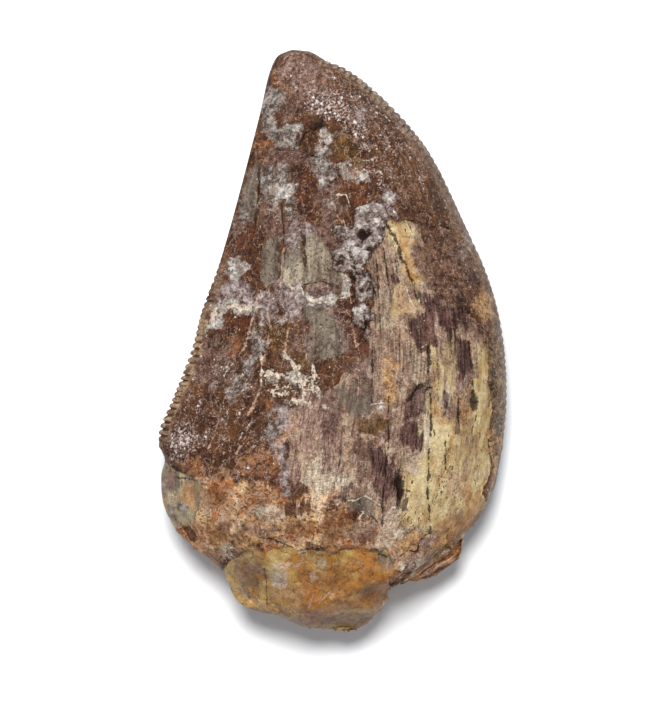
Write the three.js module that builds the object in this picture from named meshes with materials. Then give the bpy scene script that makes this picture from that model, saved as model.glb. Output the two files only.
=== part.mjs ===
// A fossil carnosaur tooth, one solid. It lies on its inner (lingual) face with the outer (labial) face up
// and its tip towards +Y, as it would on a table. Millimetres, +Z up, origin under the middle of its box.
// The long left edge is the rear cutting edge, the bowed right edge is the front one. Both carry denticles.
import * as THREE from "three";

// Driving dimensions
const LABIAL_BULGE = 7.2; // from the cutting edges up to the top of the crown at its base
const LINGUAL_BULGE = 5.8; // from the cutting edges down to the underside
const DENTICLES = 66; // along each cutting edge, 0.51 mm apart on the left and 0.57 mm on the right
const DENTICLE_DEPTH = 0.24; // from a denticle's crest to the slit beside it
const EDGE_BAND = 0.9; // how far the denticles reach in from the cutting edge
const ENAMEL = 0.3; // thickness of the enamel that stands above the bare dentine
const CROWN_SWELL = 0.62; // power by which the crown thickens from its tip
const ROOT_SWELL = 0.6; // power by which the broken root rounds off
const LEAST_BULGE = 0.2; // share of the bulge that the drops and breaks leave standing
const WIDEST_BAND = 0.2; // share of the tooth's width that the band of denticles takes near the tip

// Outline seen from above: from the tip down each cutting edge, then round the broken root to its end
const TIP = [-3.3, 23.2];
const ROOT_END = [0.6, -23.2];
const CROWN_LEFT = [TIP, [-4.4, 22.7], [-5.0, 21.6], [-5.9, 17.8], [-8.85, 6.7], [-10.5, 2.1],
  [-11.2, -0.6], [-12.8, -4.8], [-13.85, -7.3], [-13.85, -8.6]];
const CROWN_RIGHT = [TIP, [-1.8, 23.0], [-0.5, 22.3], [1.0, 21.7], [3.7, 19.6], [7.4, 15.4], [10.5, 9.2],
  [12.5, 4.6], [13.6, -0.1], [13.85, -5.2], [13.55, -8.4]];
const ROOT_LEFT = [CROWN_LEFT.at(-1), [-13.45, -9.6], [-13.65, -11.0], [-13.35, -13.5], [-11.7, -16.1],
  [-9.9, -17.3], [-8.55, -18.9], [-7.7, -20.7], [-6.4, -21.5], [-4.6, -21.9], [-2.6, -22.8], ROOT_END];
const ROOT_RIGHT = [CROWN_RIGHT.at(-1), [12.7, -12.3], [11.7, -14.2], [10.3, -15.9], [10.1, -17.0],
  [9.3, -18.1], [7.8, -19.0], [5.6, -19.4], [4.6, -20.0], [4.2, -21.0], [3.5, -21.8], [2.5, -22.8], ROOT_END];

// Stations down the tooth: 0 at the tip, 1 at the base of the crown, 2 at the end of the root.
// How far the lowest line of the underside stands above the table. Below 0 it is worn flat on the table.
const CLEARANCE = [[0, 0.9], [0.03, 0.35], [0.08, -0.12], [0.16, -0.05], [0.3, 0.2], [0.55, 0.45],
  [0.85, 0.05], [1.0, -0.3], [1.3, -0.35], [1.5, -0.05], [1.75, 0.5], [1.9, 1.2], [2, 4.4]];
// How far each cutting edge is bent up or down from the tooth's middle plane
const LEFT_EDGE_LIFT = [[0, 0], [0.5, 0.3], [1.0, 0.5], [1.4, 0.2], [2, 0]];
const RIGHT_EDGE_LIFT = [[0, 0], [0.35, -0.6], [0.9, -1.0], [1.3, -0.7], [1.6, -1.6], [2, 0]];
// Fullness of the section beside each cutting edge: 1 is a blade, 0.5 is round
const LEFT_FULLNESS = [[0, 0.8], [0.2, 1.0], [0.85, 1.0], [1.15, 0.6], [2, 0.5]];
const RIGHT_FULLNESS = [[0, 0.6], [0.6, 0.66], [1.0, 0.6], [1.3, 0.5], [2, 0.45]];
// How much of their depth the denticles keep after wear
const LEFT_WEAR = [[0, 0], [0.46, 0], [0.54, 0.75], [0.7, 1], [0.95, 0.9], [1, 0]];
const RIGHT_WEAR = [[0, 0], [0.06, 0], [0.1, 1], [0.32, 0.8], [0.4, 0.3], [0.62, 0.35], [0.95, 0.45], [1, 0]];

// Areas of the upper face, each an outline in the plan view
const BARE_DENTINE = [[4.4, 9.4], [6.5, 9.1], [7.6, 6.2], [8.2, 3.9], [11.0, 1.7], [12.2, 0.7], [12.7, -6.5],
  [12.4, -13.3], [10.5, -15.7], [5.3, -19.0], [4.1, -16.5], [3.1, -14.5], [-0.2, -12.6], [-3.0, -11.3],
  [-3.8, -8.1], [-4.1, -5.5], [-1.2, -4.6], [1.4, -2.6], [2.8, 0.7], [3.3, 6.2]];
const BROKEN_FILLING = [[4.9, -19.3], [7.0, -17.8], [9.0, -16.6], [10.5, -15.6], [12.0, -14.3], [14.0, -17.0],
  [10.0, -21.0], [5.0, -22.5], [4.6, -21.0]];
const ROOT_CHIP = [[-14.5, -9.9], [-12.6, -10.2], [-11.1, -11.0], [-10.7, -13.0], [-11.6, -16.0], [-15, -17],
  [-15, -10]];
const ROOT_TONGUE = [[-8.6, -17.6], [-5.0, -16.6], [-0.2, -17.0], [4.2, -16.5], [4.9, -18.0], [4.9, -24],
  [-9.5, -24]];
const MINERAL_CRUST = [[2.6, 10.6], [4.1, 10.2], [4.0, 8.0], [2.9, 4.0], [3.0, 0.6], [2.0, 0.4], [1.2, 6.4]];
// Areas of the underside
const UNDER_SCAR = [[-7.0, 6.0], [-2.0, 8.5], [3.0, 4.0], [5.0, -3.0], [2.0, -9.0], [-3.5, -10.5],
  [-8.0, -4.0]];
const UNDER_BREAK = [[-13, -13.5], [-6, -15.5], [0, -14.5], [5, -16.0], [11, -13.5], [14, -24], [-14, -24]];

const FILLING_DROP = 2.4; // the filling of the broken root lies this far under the crown's edge
const CHIP_DROP = 1.3;
const TONGUE_DROP = 0.5;
const CRUST_RISE = 0.3;
const SCAR_DROP = 0.35;
const BREAK_DROP = 0.8;
const MATRIX_LUMPS = 0.16; // height of the lumps on the matrix round the root
const BREAK_LUMPS = 0.2; // and of those under it
const STEP_WIDTH = 0.6; // over which a drop's edge slopes
const RELIEF_FADE = 0.35; // share of the section's height below which the relief fades out towards an edge
const MATRIX_START = -10.5; // the matrix fades in down the root between these, along MATRIX_TILT
const MATRIX_FULL = -12.5;
const MATRIX_TILT = 0.12;

const BREAK_CREASE = 0.4; // over which the crease beside a flat break is rounded
// Flat breaks of the root. Each plane's height is at + dx * x + dy * y, and the tooth ends at it.
const UPPER_BREAKS = [
  { at: 16.6, dx: 0.06, dy: 0.3 }, // the flat face of the tongue
  { at: 57.5, dx: -0.35, dy: 2.25 }, // the tongue's end
  { at: 31.5, dx: 0.75, dy: 0.95 }, // the left shoulder
];
const LOWER_BREAKS = [
  { at: -16.5, dx: 0.1, dy: -0.88 }, // under the tongue's end
  { at: -15.9, dx: -0.9, dy: -0.5 }, // under the left shoulder
];

// Mesh: rings of columns. Columns in the band beside a cutting edge have more rows, for the denticles.
const CROWN_ROWS = DENTICLES / 2;
const FINE_PER_ROW = 4; // a crest and a slit for each of the two denticles in a crown row
const TIP_ROWS = 3;
const ROOT_ROWS = 20;
const UPPER_COLUMNS = 24;
const LOWER_COLUMNS = 18;
const BAND_COLUMNS = 2;

const clamp = (x, low, high) => Math.min(Math.max(x, low), high);
const mix = (a, b, t) => a + (b - a) * t;
const smoothstep = (low, high, x) => {
  const t = clamp((x - low) / (high - low), 0, 1);
  return t * t * (3 - 2 * t);
};

// Value at station v of a list of [station, value], eased between its entries.
function along(stations, v) {
  const next = stations.findIndex(([station]) => station >= v);
  if (next <= 0) return next === 0 ? stations[0][1] : stations.at(-1)[1];
  const [v0, a] = stations[next - 1];
  const [v1, b] = stations[next];
  return mix(a, b, smoothstep(v0, v1, v));
}

// Distance from (x, y) to the outline of an area, positive inside it.
function insideBy(area, x, y) {
  let nearest = Infinity;
  let inside = false;
  for (let i = 0, j = area.length - 1; i < area.length; j = i++) {
    const [ax, ay] = area[j];
    const [bx, by] = area[i];
    const ex = bx - ax;
    const ey = by - ay;
    const t = clamp(((x - ax) * ex + (y - ay) * ey) / (ex * ex + ey * ey), 0, 1);
    nearest = Math.min(nearest, Math.hypot(x - ax - t * ex, y - ay - t * ey));
    if (ay > y !== by > y && x < (ex * (y - ay)) / ey + ax) inside = !inside;
  }
  return inside ? nearest : -nearest;
}

// A share from 0 outside an area to 1 inside, over the width of a step.
const covers = (area, x, y) => smoothstep(-STEP_WIDTH / 2, STEP_WIDTH / 2, insideBy(area, x, y));

// The smaller of a and b, with the crease between them rounded over about the given width.
function softMin(a, b, round) {
  const h = clamp(0.5 + (0.5 * (b - a)) / round, 0, 1);
  return mix(b, a, h) - round * h * (1 - h);
}

function edgeCurve(points) {
  const curve = new THREE.CatmullRomCurve3(points.map(([x, y]) => new THREE.Vector3(x, y, 0)));
  curve.arcLengthDivisions = 2000;
  return curve;
}

const leftCurves = [edgeCurve(CROWN_LEFT), edgeCurve(ROOT_LEFT)];
const rightCurves = [edgeCurve(CROWN_RIGHT), edgeCurve(ROOT_RIGHT)];

// Point of a cutting edge at station v, by its length along the crown or along the root.
const edgeAt = (curves, v) => (v <= 1 ? curves[0].getPointAt(v) : curves[1].getPointAt(Math.min(v - 1, 1)));

// Thickness at station v as a share of the bulge: grows down the crown and ends in the broken root.
const swell = (v) => (v <= 1 ? v ** CROWN_SWELL : Math.max(0, 1 - (v - 1) ** 4) ** ROOT_SWELL);

// Outline of the section from the left cutting edge, w = 0, to the right one, w = 1, highest at 1.
function section(v, w) {
  const a = along(LEFT_FULLNESS, v);
  const b = along(RIGHT_FULLNESS, v);
  const top = a / (a + b);
  return (w / top) ** a * ((1 - w) / (1 - top)) ** b;
}

// 1 in a slit between two denticles and 0 on a crest. The denticles end with the crown.
const slit = (v) => (v < 1 ? Math.abs(Math.cos(Math.PI * DENTICLES * v)) ** 3 : 0);

// Low lumps of the rough matrix round the root, as crossed waves.
const lumps = (x, y) =>
  Math.sin(2.1 * x + 0.7 * y) * Math.sin(1.7 * y - 0.9 * x) + 0.6 * Math.sin(3.3 * x - 2.6 * y);

function upperRelief(x, y) {
  const dentine = covers(BARE_DENTINE, x, y);
  const matrix = smoothstep(MATRIX_START, MATRIX_FULL, y + MATRIX_TILT * x) * (1 - dentine);
  return (
    -ENAMEL * dentine -
    FILLING_DROP * covers(BROKEN_FILLING, x, y) -
    CHIP_DROP * covers(ROOT_CHIP, x, y) -
    TONGUE_DROP * covers(ROOT_TONGUE, x, y) +
    CRUST_RISE * covers(MINERAL_CRUST, x, y) +
    MATRIX_LUMPS * matrix * lumps(x, y)
  );
}

function lowerRelief(x, y) {
  const root = covers(UNDER_BREAK, x, y);
  return -SCAR_DROP * covers(UNDER_SCAR, x, y) - BREAK_DROP * root + BREAK_LUMPS * root * lumps(x + 3, y);
}

// Height of the surface over or under the cutting edges' own sheet, before the table wears it flat.
function bulge(v, w, upper, x, y, sheet) {
  const share = section(v, w);
  const full = swell(v) * share * (upper ? LABIAL_BULGE : LINGUAL_BULGE);
  const breaks = upper ? UPPER_BREAKS : LOWER_BREAKS;
  const relief = (upper ? upperRelief(x, y) : lowerRelief(x, y)) * smoothstep(0, RELIEF_FADE, share);
  let out = full + relief;
  if (v > 1) {
    for (const { at, dx, dy } of breaks) {
      const plane = at + dx * x + dy * y;
      out = softMin(out, upper ? plane - sheet : sheet - plane, BREAK_CREASE);
    }
  }
  return Math.max(out, LEAST_BULGE * full);
}

// A point of the surface at station v, a share w of the way from the left edge to the right one.
function surfacePoint(v, w, upper) {
  const left = edgeAt(leftCurves, v);
  const right = edgeAt(rightCurves, v);
  const width = left.distanceTo(right);
  const p = left.clone().lerp(right, w);
  const nearer = Math.min(w, 1 - w) * width;
  const wear = w < 0.5 ? along(LEFT_WEAR, v) : along(RIGHT_WEAR, v);
  const cut = slit(v) * wear * DENTICLE_DEPTH * (1 - smoothstep(0, EDGE_BAND, nearer));
  if (width > 0) p.addScaledVector(right.clone().sub(left), ((w < 0.5 ? 1 : -1) * cut) / width);
  const lift = (share) => mix(along(LEFT_EDGE_LIFT, v), along(RIGHT_EDGE_LIFT, v), share);
  const keel = LINGUAL_BULGE * swell(v) + along(CLEARANCE, v) - lift(0.6);
  const sheet = keel + lift(w);
  const out = bulge(v, w, upper, p.x, p.y, sheet) - 0.5 * cut * smoothstep(0, 0.4, nearer);
  p.z = Math.max(0, sheet + (upper ? out : -out));
  return p;
}

// The columns of a ring, from the left cutting edge over the upper face and back under the lower one.
function columnsOfRing() {
  const columns = [];
  const addFace = (upper, core) => {
    const band = (k) => ({ upper, band: k / BAND_COLUMNS, fine: true });
    const steps = [...Array(BAND_COLUMNS).keys()];
    const face = [
      ...steps.map((k) => ({ ...band(k), side: "left" })),
      { ...band(BAND_COLUMNS), side: "left" },
      ...[...Array(core - 1).keys()].map((k) => ({ upper, core: (k + 1) / core, fine: false })),
      { ...band(BAND_COLUMNS), side: "right" },
      ...steps.map((k) => ({ ...band(k), side: "right" })).reverse(),
    ];
    columns.push(...(upper ? face : face.reverse()).slice(0, -1));
  };
  addFace(true, UPPER_COLUMNS);
  addFace(false, LOWER_COLUMNS);
  return columns;
}

// Share across the tooth of a column at station v. The band keeps its width in millimetres.
function shareOf(column, v) {
  const width = edgeAt(leftCurves, v).distanceTo(edgeAt(rightCurves, v));
  const band = Math.min(WIDEST_BAND, EDGE_BAND / Math.max(width, 0.01));
  if (column.side === "left") return band * column.band;
  if (column.side === "right") return 1 - band * column.band;
  return band + (1 - 2 * band) * column.core;
}

// Triangles between two neighbouring columns that share their first and last station, turning to face out.
function zip(a, b, stations, faces) {
  let i = 0;
  let j = 0;
  while (i < a.length - 1 || j < b.length - 1) {
    const nextA = i < a.length - 1 ? stations[a[i + 1]] : Infinity;
    const nextB = j < b.length - 1 ? stations[b[j + 1]] : Infinity;
    if (nextA <= nextB) faces.push(a[i], a[++i], b[j]);
    else faces.push(a[i], b[j + 1], b[j++]);
  }
}

function toothGeometry() {
  const columns = columnsOfRing();
  const positions = [];
  const stations = [];
  const addVertex = (v, column) => {
    const p = surfacePoint(v, column ? shareOf(column, v) : 0.5, column ? column.upper : true);
    positions.push(p.x, p.y, p.z);
    stations.push(v);
    return stations.length - 1;
  };
  const tip = addVertex(0, null);
  const tipStations = [...Array(TIP_ROWS).keys()].map((k) => (k + 1) / ((TIP_ROWS + 1) * CROWN_ROWS));
  const rootStations = [...Array(ROOT_ROWS - 1).keys()].map((k) => 2 - (1 - (k + 1) / ROOT_ROWS) ** 1.25);
  const ladders = columns.map((column) => {
    const step = column.fine ? FINE_PER_ROW : 1;
    const crown = [...Array((CROWN_ROWS - 1) * step + 1).keys()].map((k) => (1 + k / step) / CROWN_ROWS);
    return [...tipStations, ...crown, ...rootStations].map((v) => addVertex(v, column));
  });
  const rootEnd = addVertex(2, null);
  const faces = [];
  ladders.forEach((ladder, c) => {
    const next = ladders[(c + 1) % ladders.length];
    faces.push(tip, ladder[0], next[0]);
    zip(ladder, next, stations, faces);
    faces.push(ladder.at(-1), rootEnd, next.at(-1));
  });
  const geometry = new THREE.BufferGeometry();
  geometry.setAttribute("position", new THREE.Float32BufferAttribute(positions, 3));
  geometry.setIndex(faces);
  geometry.computeBoundingBox();
  const middle = geometry.boundingBox.getCenter(new THREE.Vector3());
  geometry.translate(-middle.x, -middle.y, 0);
  geometry.computeVertexNormals();
  return geometry;
}

const fossil = new THREE.MeshStandardMaterial({ color: 0x7a5c4c, roughness: 0.55, metalness: 0 });
const tooth = new THREE.Mesh(toothGeometry(), fossil);
tooth.name = "tooth";

const part = new THREE.Group();
part.add(tooth);
export default part;
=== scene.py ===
import itertools
import math

import bpy
import numpy as np
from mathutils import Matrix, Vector


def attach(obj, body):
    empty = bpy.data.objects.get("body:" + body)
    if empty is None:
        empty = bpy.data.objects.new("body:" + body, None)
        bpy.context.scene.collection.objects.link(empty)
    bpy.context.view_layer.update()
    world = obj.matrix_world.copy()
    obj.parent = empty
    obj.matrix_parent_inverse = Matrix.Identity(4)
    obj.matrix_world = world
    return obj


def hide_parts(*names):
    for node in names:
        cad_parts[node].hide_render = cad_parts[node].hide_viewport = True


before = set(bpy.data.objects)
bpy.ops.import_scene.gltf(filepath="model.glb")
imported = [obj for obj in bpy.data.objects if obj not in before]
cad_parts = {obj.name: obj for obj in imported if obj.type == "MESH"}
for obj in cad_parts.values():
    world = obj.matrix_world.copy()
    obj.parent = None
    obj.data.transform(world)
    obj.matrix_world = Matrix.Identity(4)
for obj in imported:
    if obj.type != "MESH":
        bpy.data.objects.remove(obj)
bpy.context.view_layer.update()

MM = 0.001

# Camera
# It looks straight down on the lying tooth through a long lens, as the photograph does. Places traced in the
# photograph's pixels are turned into mm in the plan view, from the origin under the middle of the tooth.
PHOTO_WIDTH = 665
PHOTO_HEIGHT = 702
PIXELS_PER_MM = 12.5
ORIGIN_PIXEL = (333, 339)  # where the middle of the tooth's box falls in the photograph
OUTLINE_HEIGHT = 2.5  # mm above the table, where the tooth is widest
FOCAL_LENGTH = 500
SENSOR_WIDTH = 36
NEAREST_SEEN = 0.01  # m


def plan(pixels):
    """Points of the plan view in mm, from pixels of the photograph: x runs right from the origin, y up."""
    p = np.array(pixels, float)
    return np.stack([p[..., 0] - ORIGIN_PIXEL[0], ORIGIN_PIXEL[1] - p[..., 1]], -1) / PIXELS_PER_MM


def add_camera():
    lens = bpy.data.cameras.new("camera")
    lens.sensor_fit = "HORIZONTAL"
    lens.sensor_width = SENSOR_WIDTH
    lens.lens = FOCAL_LENGTH
    lens.clip_start = NEAREST_SEEN
    camera = bpy.data.objects.new("camera", lens)
    x, y = plan((PHOTO_WIDTH / 2, PHOTO_HEIGHT / 2))
    distance = FOCAL_LENGTH / SENSOR_WIDTH * PHOTO_WIDTH / PIXELS_PER_MM
    camera.location = Vector((x, y, OUTLINE_HEIGHT + distance)) * MM
    bpy.context.scene.collection.objects.link(camera)
    bpy.context.scene.camera = camera


add_camera()

# Table and light
# A plain white table, and a large soft lamp beyond the tip and a little to the left, so that the shadow
# falls under the root. A dim sky fills the shadow.
TABLE_WHITE = 0.95
TABLE_ROUGHNESS = 0.7
TABLE_REACH = 4.0  # m, out to where the other views see no edge
LAMP_AWAY = 1.2  # m
LAMP_SIZE = 0.42  # m
LAMP_TURN = math.radians(9)  # from +Y towards the left
LAMP_RISE = math.radians(71)  # above the table
LAMP_POWER = 19.0  # W
SKY_STRENGTH = 0.34
SKY_TINT = (0.9, 0.98, 1.07, 1)


def add_table():
    mesh = bpy.data.meshes.new("table")
    corners = [(x * TABLE_REACH, y * TABLE_REACH, 0) for x, y in ((-1, -1), (1, -1), (1, 1), (-1, 1))]
    mesh.from_pydata(corners, [], [(0, 1, 2, 3)])
    material = bpy.data.materials.new("white_table")
    material.use_nodes = True
    shader = material.node_tree.nodes["Principled BSDF"]
    shader.inputs["Base Color"].default_value = (TABLE_WHITE, TABLE_WHITE, TABLE_WHITE, 1)
    shader.inputs["Roughness"].default_value = TABLE_ROUGHNESS
    mesh.materials.append(material)
    table = bpy.data.objects.new("table", mesh)
    bpy.context.scene.collection.objects.link(table)


def add_light():
    light = bpy.data.lights.new("lamp", "AREA")
    light.shape = "DISK"
    light.size = LAMP_SIZE
    light.energy = LAMP_POWER
    lamp = bpy.data.objects.new("lamp", light)
    flat = math.cos(LAMP_RISE)
    direction = Vector((-math.sin(LAMP_TURN) * flat, math.cos(LAMP_TURN) * flat, math.sin(LAMP_RISE)))
    lamp.location = direction * LAMP_AWAY
    lamp.rotation_euler = direction.to_track_quat("Z", "Y").to_euler()
    bpy.context.scene.collection.objects.link(lamp)
    sky = bpy.data.worlds.new("sky")
    sky.use_nodes = True
    background = sky.node_tree.nodes["Background"]
    background.inputs["Color"].default_value = SKY_TINT
    background.inputs["Strength"].default_value = SKY_STRENGTH
    bpy.context.scene.world = sky
    bpy.context.scene.view_settings.view_transform = "Standard"


add_table()
add_light()

# Body of the tooth
# One piece of mineral: a flattened, curved crown on a broken stub of root, lying on its inner face. Its two
# faces bulge up and down from the sheet that joins its cutting edges, and it is worn flat where it rests.
LABIAL_BULGE = 7.2  # mm from the cutting edges up to the top of the crown at its base
LINGUAL_BULGE = 5.8
TIP = (-3.3, 23.2)
ROOT_END = (0.6, -23.2)
CROWN_LEFT = [TIP, (-4.4, 22.7), (-5.0, 21.6), (-5.9, 17.8), (-8.85, 6.7), (-10.5, 2.1), (-11.2, -0.6),
              (-12.8, -4.8), (-13.85, -7.3), (-13.85, -8.6)]
CROWN_RIGHT = [TIP, (-1.8, 23.0), (-0.5, 22.3), (1.0, 21.7), (3.7, 19.6), (7.4, 15.4), (10.5, 9.2),
               (12.5, 4.6), (13.6, -0.1), (13.85, -5.2), (13.55, -8.4)]
ROOT_LEFT = [CROWN_LEFT[-1], (-13.45, -9.6), (-13.65, -11.0), (-13.35, -13.5), (-11.7, -16.1), (-9.9, -17.3),
             (-8.55, -18.9), (-7.7, -20.7), (-6.4, -21.5), (-4.6, -21.9), (-2.6, -22.8), ROOT_END]
ROOT_RIGHT = [CROWN_RIGHT[-1], (12.7, -12.3), (11.7, -14.2), (10.3, -15.9), (10.1, -17.0), (9.3, -18.1),
              (7.8, -19.0), (5.6, -19.4), (4.6, -20.0), (4.2, -21.0), (3.5, -21.8), (2.5, -22.8), ROOT_END]

# Stations down the tooth: 0 at the tip, 1 at the base of the crown, 2 at the end of the root
CLEARANCE = [(0, 0.9), (0.03, 0.35), (0.08, -0.12), (0.16, -0.05), (0.3, 0.2), (0.55, 0.45), (0.85, 0.05),
             (1.0, -0.3), (1.3, -0.35), (1.5, -0.05), (1.75, 0.5), (1.9, 1.2), (2, 4.4)]
LEFT_EDGE_LIFT = [(0, 0), (0.5, 0.3), (1.0, 0.5), (1.4, 0.2), (2, 0)]
RIGHT_EDGE_LIFT = [(0, 0), (0.35, -0.6), (0.9, -1.0), (1.3, -0.7), (1.6, -1.6), (2, 0)]
LEFT_FULLNESS = [(0, 0.8), (0.2, 1.0), (0.85, 1.0), (1.15, 0.6), (2, 0.5)]
RIGHT_FULLNESS = [(0, 0.6), (0.6, 0.66), (1.0, 0.6), (1.3, 0.5), (2, 0.45)]
CROWN_SWELL = 0.62  # power by which the crown thickens from its tip
ROOT_SWELL = 0.6
LEAST_BULGE = 0.2  # share of the bulge that no relief and no break takes away
RELIEF_FADE = 0.35  # share of the bulge over which the relief fades in from the cutting edges
SHEET_LEVEL = 0.6  # share of the way across the sheet that keeps its height when the edges rise or fall
# Flat breaks of the root: height in mm over the origin, slope in x, slope in y
UPPER_BREAKS = [(16.6, 0.06, 0.3), (57.5, -0.35, 2.25), (31.5, 0.75, 0.95)]
LOWER_BREAKS = [(-16.5, 0.1, -0.88), (-15.9, -0.9, -0.5)]
BREAK_CREASE = 0.4  # mm over which the crease beside a flat break is rounded


def smoothstep(low, high, x):
    """A share that eases from 0 at low to 1 at high."""
    t = np.clip((x - low) / (high - low), 0, 1)
    return t * t * (3 - 2 * t)


def along(stations, v):
    """Value at station v of a list of (station, value), eased between its entries."""
    at, value = np.array(stations, float).T
    k = np.clip(np.searchsorted(at, v), 1, len(at) - 1)
    return value[k - 1] + (value[k] - value[k - 1]) * smoothstep(at[k - 1], at[k], v)


def edge_curve(points, samples=400):
    """A centripetal Catmull-Rom curve through the points: each span is a cubic, and its slopes weigh the
    chords beside it by the square roots of their lengths. Gives the curve's points and how far along it each
    lies, as a share of its length."""
    p = np.array(points, float)
    p = np.concatenate([[2 * p[0] - p[1]], p, [2 * p[-1] - p[-2]]])
    root = np.sqrt(np.linalg.norm(np.diff(p, axis=0), axis=1))[:, None]
    before, here, after = root[:-2], root[1:-1], root[2:]
    p0, p1, p2, p3 = p[:-3], p[1:-2], p[2:-1], p[3:]
    leave = ((p1 - p0) / before - (p2 - p0) / (before + here) + (p2 - p1) / here) * here
    arrive = ((p2 - p1) / here - (p3 - p1) / (here + after) + (p3 - p2) / after) * here
    t = np.linspace(0, 1, samples, endpoint=False)[None, :, None]
    a, b, m, n = (q[:, None, :] for q in (p1, p2, leave, arrive))
    curve = a + m * t + (3 * (b - a) - 2 * m - n) * t**2 + (2 * (a - b) + m + n) * t**3
    curve = np.concatenate([curve.reshape(-1, 2), p[-2:-1]])
    length = np.concatenate([[0], np.cumsum(np.linalg.norm(np.diff(curve, axis=0), axis=1))])
    return curve, length / length[-1]


def edge_at(crown, root, v):
    """Point of a cutting edge at station v, by its length along the crown's curve or along the root's."""
    on_crown, on_root = (
        np.stack([np.interp(station, share, curve[:, k]) for k in range(2)], -1)
        for (curve, share), station in ((crown, v), (root, v - 1))
    )
    return np.where((v <= 1)[..., None], on_crown, on_root)


LEFT_EDGE = (edge_curve(CROWN_LEFT), edge_curve(ROOT_LEFT))
RIGHT_EDGE = (edge_curve(CROWN_RIGHT), edge_curve(ROOT_RIGHT))


def swell(v):
    """Thickness as a share of the bulge: a power of the way down the crown, then rounded off to the end
    of the root."""
    crown = np.clip(v, 0, 1) ** CROWN_SWELL
    root = np.clip(1 - np.clip(v - 1, 0, 1) ** 4, 0, 1) ** ROOT_SWELL
    return np.where(v <= 1, crown, root)


def section(v, w):
    """Height across the tooth, w = 0 at the left edge and 1 at the right: a power of w times a power of
    1 - w, scaled to 1 at its highest."""
    a = along(LEFT_FULLNESS, v)
    b = along(RIGHT_FULLNESS, v)
    top = a / (a + b)
    return (w / top) ** a * ((1 - w) / (1 - top)) ** b


def soft_min(a, b, crease):
    """The smaller of a and b, with the crease between them rounded off."""
    h = np.clip(0.5 + 0.5 * (b - a) / crease, 0, 1)
    return b + (a - b) * h - crease * h * (1 - h)


# Roughness of the broken stone
# Fossil teeth break into ragged edges, lumps, grains and fibres. All of them come from these repeatable
# random fields, whose sizes are in mm.
OTHER_SIDE = 40.0  # mm, how far apart in the fields the two sides of the tooth are
AXIS_STIRS = (374761393, 668265263, 2246822519)  # large odd numbers that stir the bits of a count
SEED_STIR = 974634777
SEED_START = 12345
LATER_STIRS = ((13, 1274126177), (15, 2654435761))  # bits to shift by, and the number to multiply by
LAST_SHIFT = 16


def scatter(cell, seed):
    """A number from 0 to 1 for each whole-number cell, by stirring the bits of its three counts."""
    counts = (cell.astype(np.int64) & 0xFFFFFFFF).astype(np.uint32)
    x, y, z = (counts[..., k] * np.uint32(stir) for k, stir in enumerate(AXIS_STIRS))
    h = x + y + z + np.uint32((seed * SEED_STIR + SEED_START) & 0xFFFFFFFF)
    for shift, stir in LATER_STIRS:
        h = (h ^ (h >> np.uint32(shift))) * np.uint32(stir)
    return (h ^ (h >> np.uint32(LAST_SHIFT))) / 2.0**32


def noise(p, size, seed):
    """Smooth random heights from -1 to 1: each corner of a cell has its own, and a point eases between the
    eight corners round it. The size is that of a cell, one number or three."""
    q = p / np.array(size, float)
    cell = np.floor(q)
    t = q - cell
    t = t * t * t * (t * (t * 6 - 15) + 10)
    total = 0
    for corner in itertools.product((0, 1), repeat=3):
        share = np.prod(np.where(np.array(corner) == 1, t, 1 - t), axis=-1)
        total = total + share * scatter(cell + corner, seed)
    return 2 * total - 1


def rough(p, size, seed, octaves=4):
    """Noise with finer noise added, each layer half the size and half the height of the one before."""
    return sum(noise(p, np.array(size) / 2**k, seed + k) / 2**k for k in range(octaves))


def pebbles(p, size, seed):
    """Distance from each point to the nearest of the pebble centres, one in each cell, in cells."""
    q = p / np.array(size, float)
    cell = np.floor(q)
    nearest = np.full(q.shape[:-1], 9.0)
    for step in itertools.product((-1, 0, 1), repeat=3):
        c = cell + step
        centre = c + np.stack([scatter(c, seed + k) for k in range(3)], -1)
        nearest = np.minimum(nearest, np.linalg.norm(q - centre, axis=-1))
    return nearest


def inside_by(area, p):
    """Distance in the plan view from the points p to the outline of an area, positive inside it."""
    x, y = p[..., 0], p[..., 1]
    nearest = np.full(x.shape, np.inf)
    inside = np.zeros(x.shape, bool)
    corners = np.array(area, float)
    for (ax, ay), (bx, by) in zip(np.roll(corners, 1, axis=0), corners):
        ex, ey = bx - ax, by - ay
        t = np.clip(((x - ax) * ex + (y - ay) * ey) / (ex * ex + ey * ey), 0, 1)
        nearest = np.minimum(nearest, np.hypot(x - ax - t * ex, y - ay - t * ey))
        if ay != by:
            inside ^= ((ay > y) != (by > y)) & (x < ex * (y - ay) / ey + ax)
    return np.where(inside, nearest, -nearest)


# Saw edges
# Chisel-shaped denticles stand in a row along both cutting edges. Slits part them and run a little way up
# the face, square to the edge. They are worn off at the tip and on the middle of the right edge.
DENTICLES = 66
SLIT_SHARPNESS = 5  # power of the cosine, higher for narrower slits
LEFT_DEPTH = 0.32  # mm, of the slits
RIGHT_DEPTH = 0.24
FACE_DEPTH = 0.5  # of the slits on the faces, as a share of their depth into the edge
FACE_START = 0.4  # mm from the edge, where they reach it
EDGE_BAND = 0.95  # mm, how far the slits reach in
LEFT_WEAR = [(0, 0), (0.5, 0), (0.56, 0.4), (0.7, 0.6), (0.77, 1), (0.96, 0.9), (1, 0)]
RIGHT_WEAR = [(0, 0), (0.06, 0), (0.1, 0.9), (0.3, 0.7), (0.4, 0.3), (0.62, 0.35), (0.95, 0.45), (1, 0)]
LEFT_SLANT = [(0, 0.1), (1, 0.2)]  # denticles that a slit drops by, over each mm inwards
RIGHT_SLANT = [(0, 1.1), (0.5, 0.5), (1, 0)]


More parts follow.
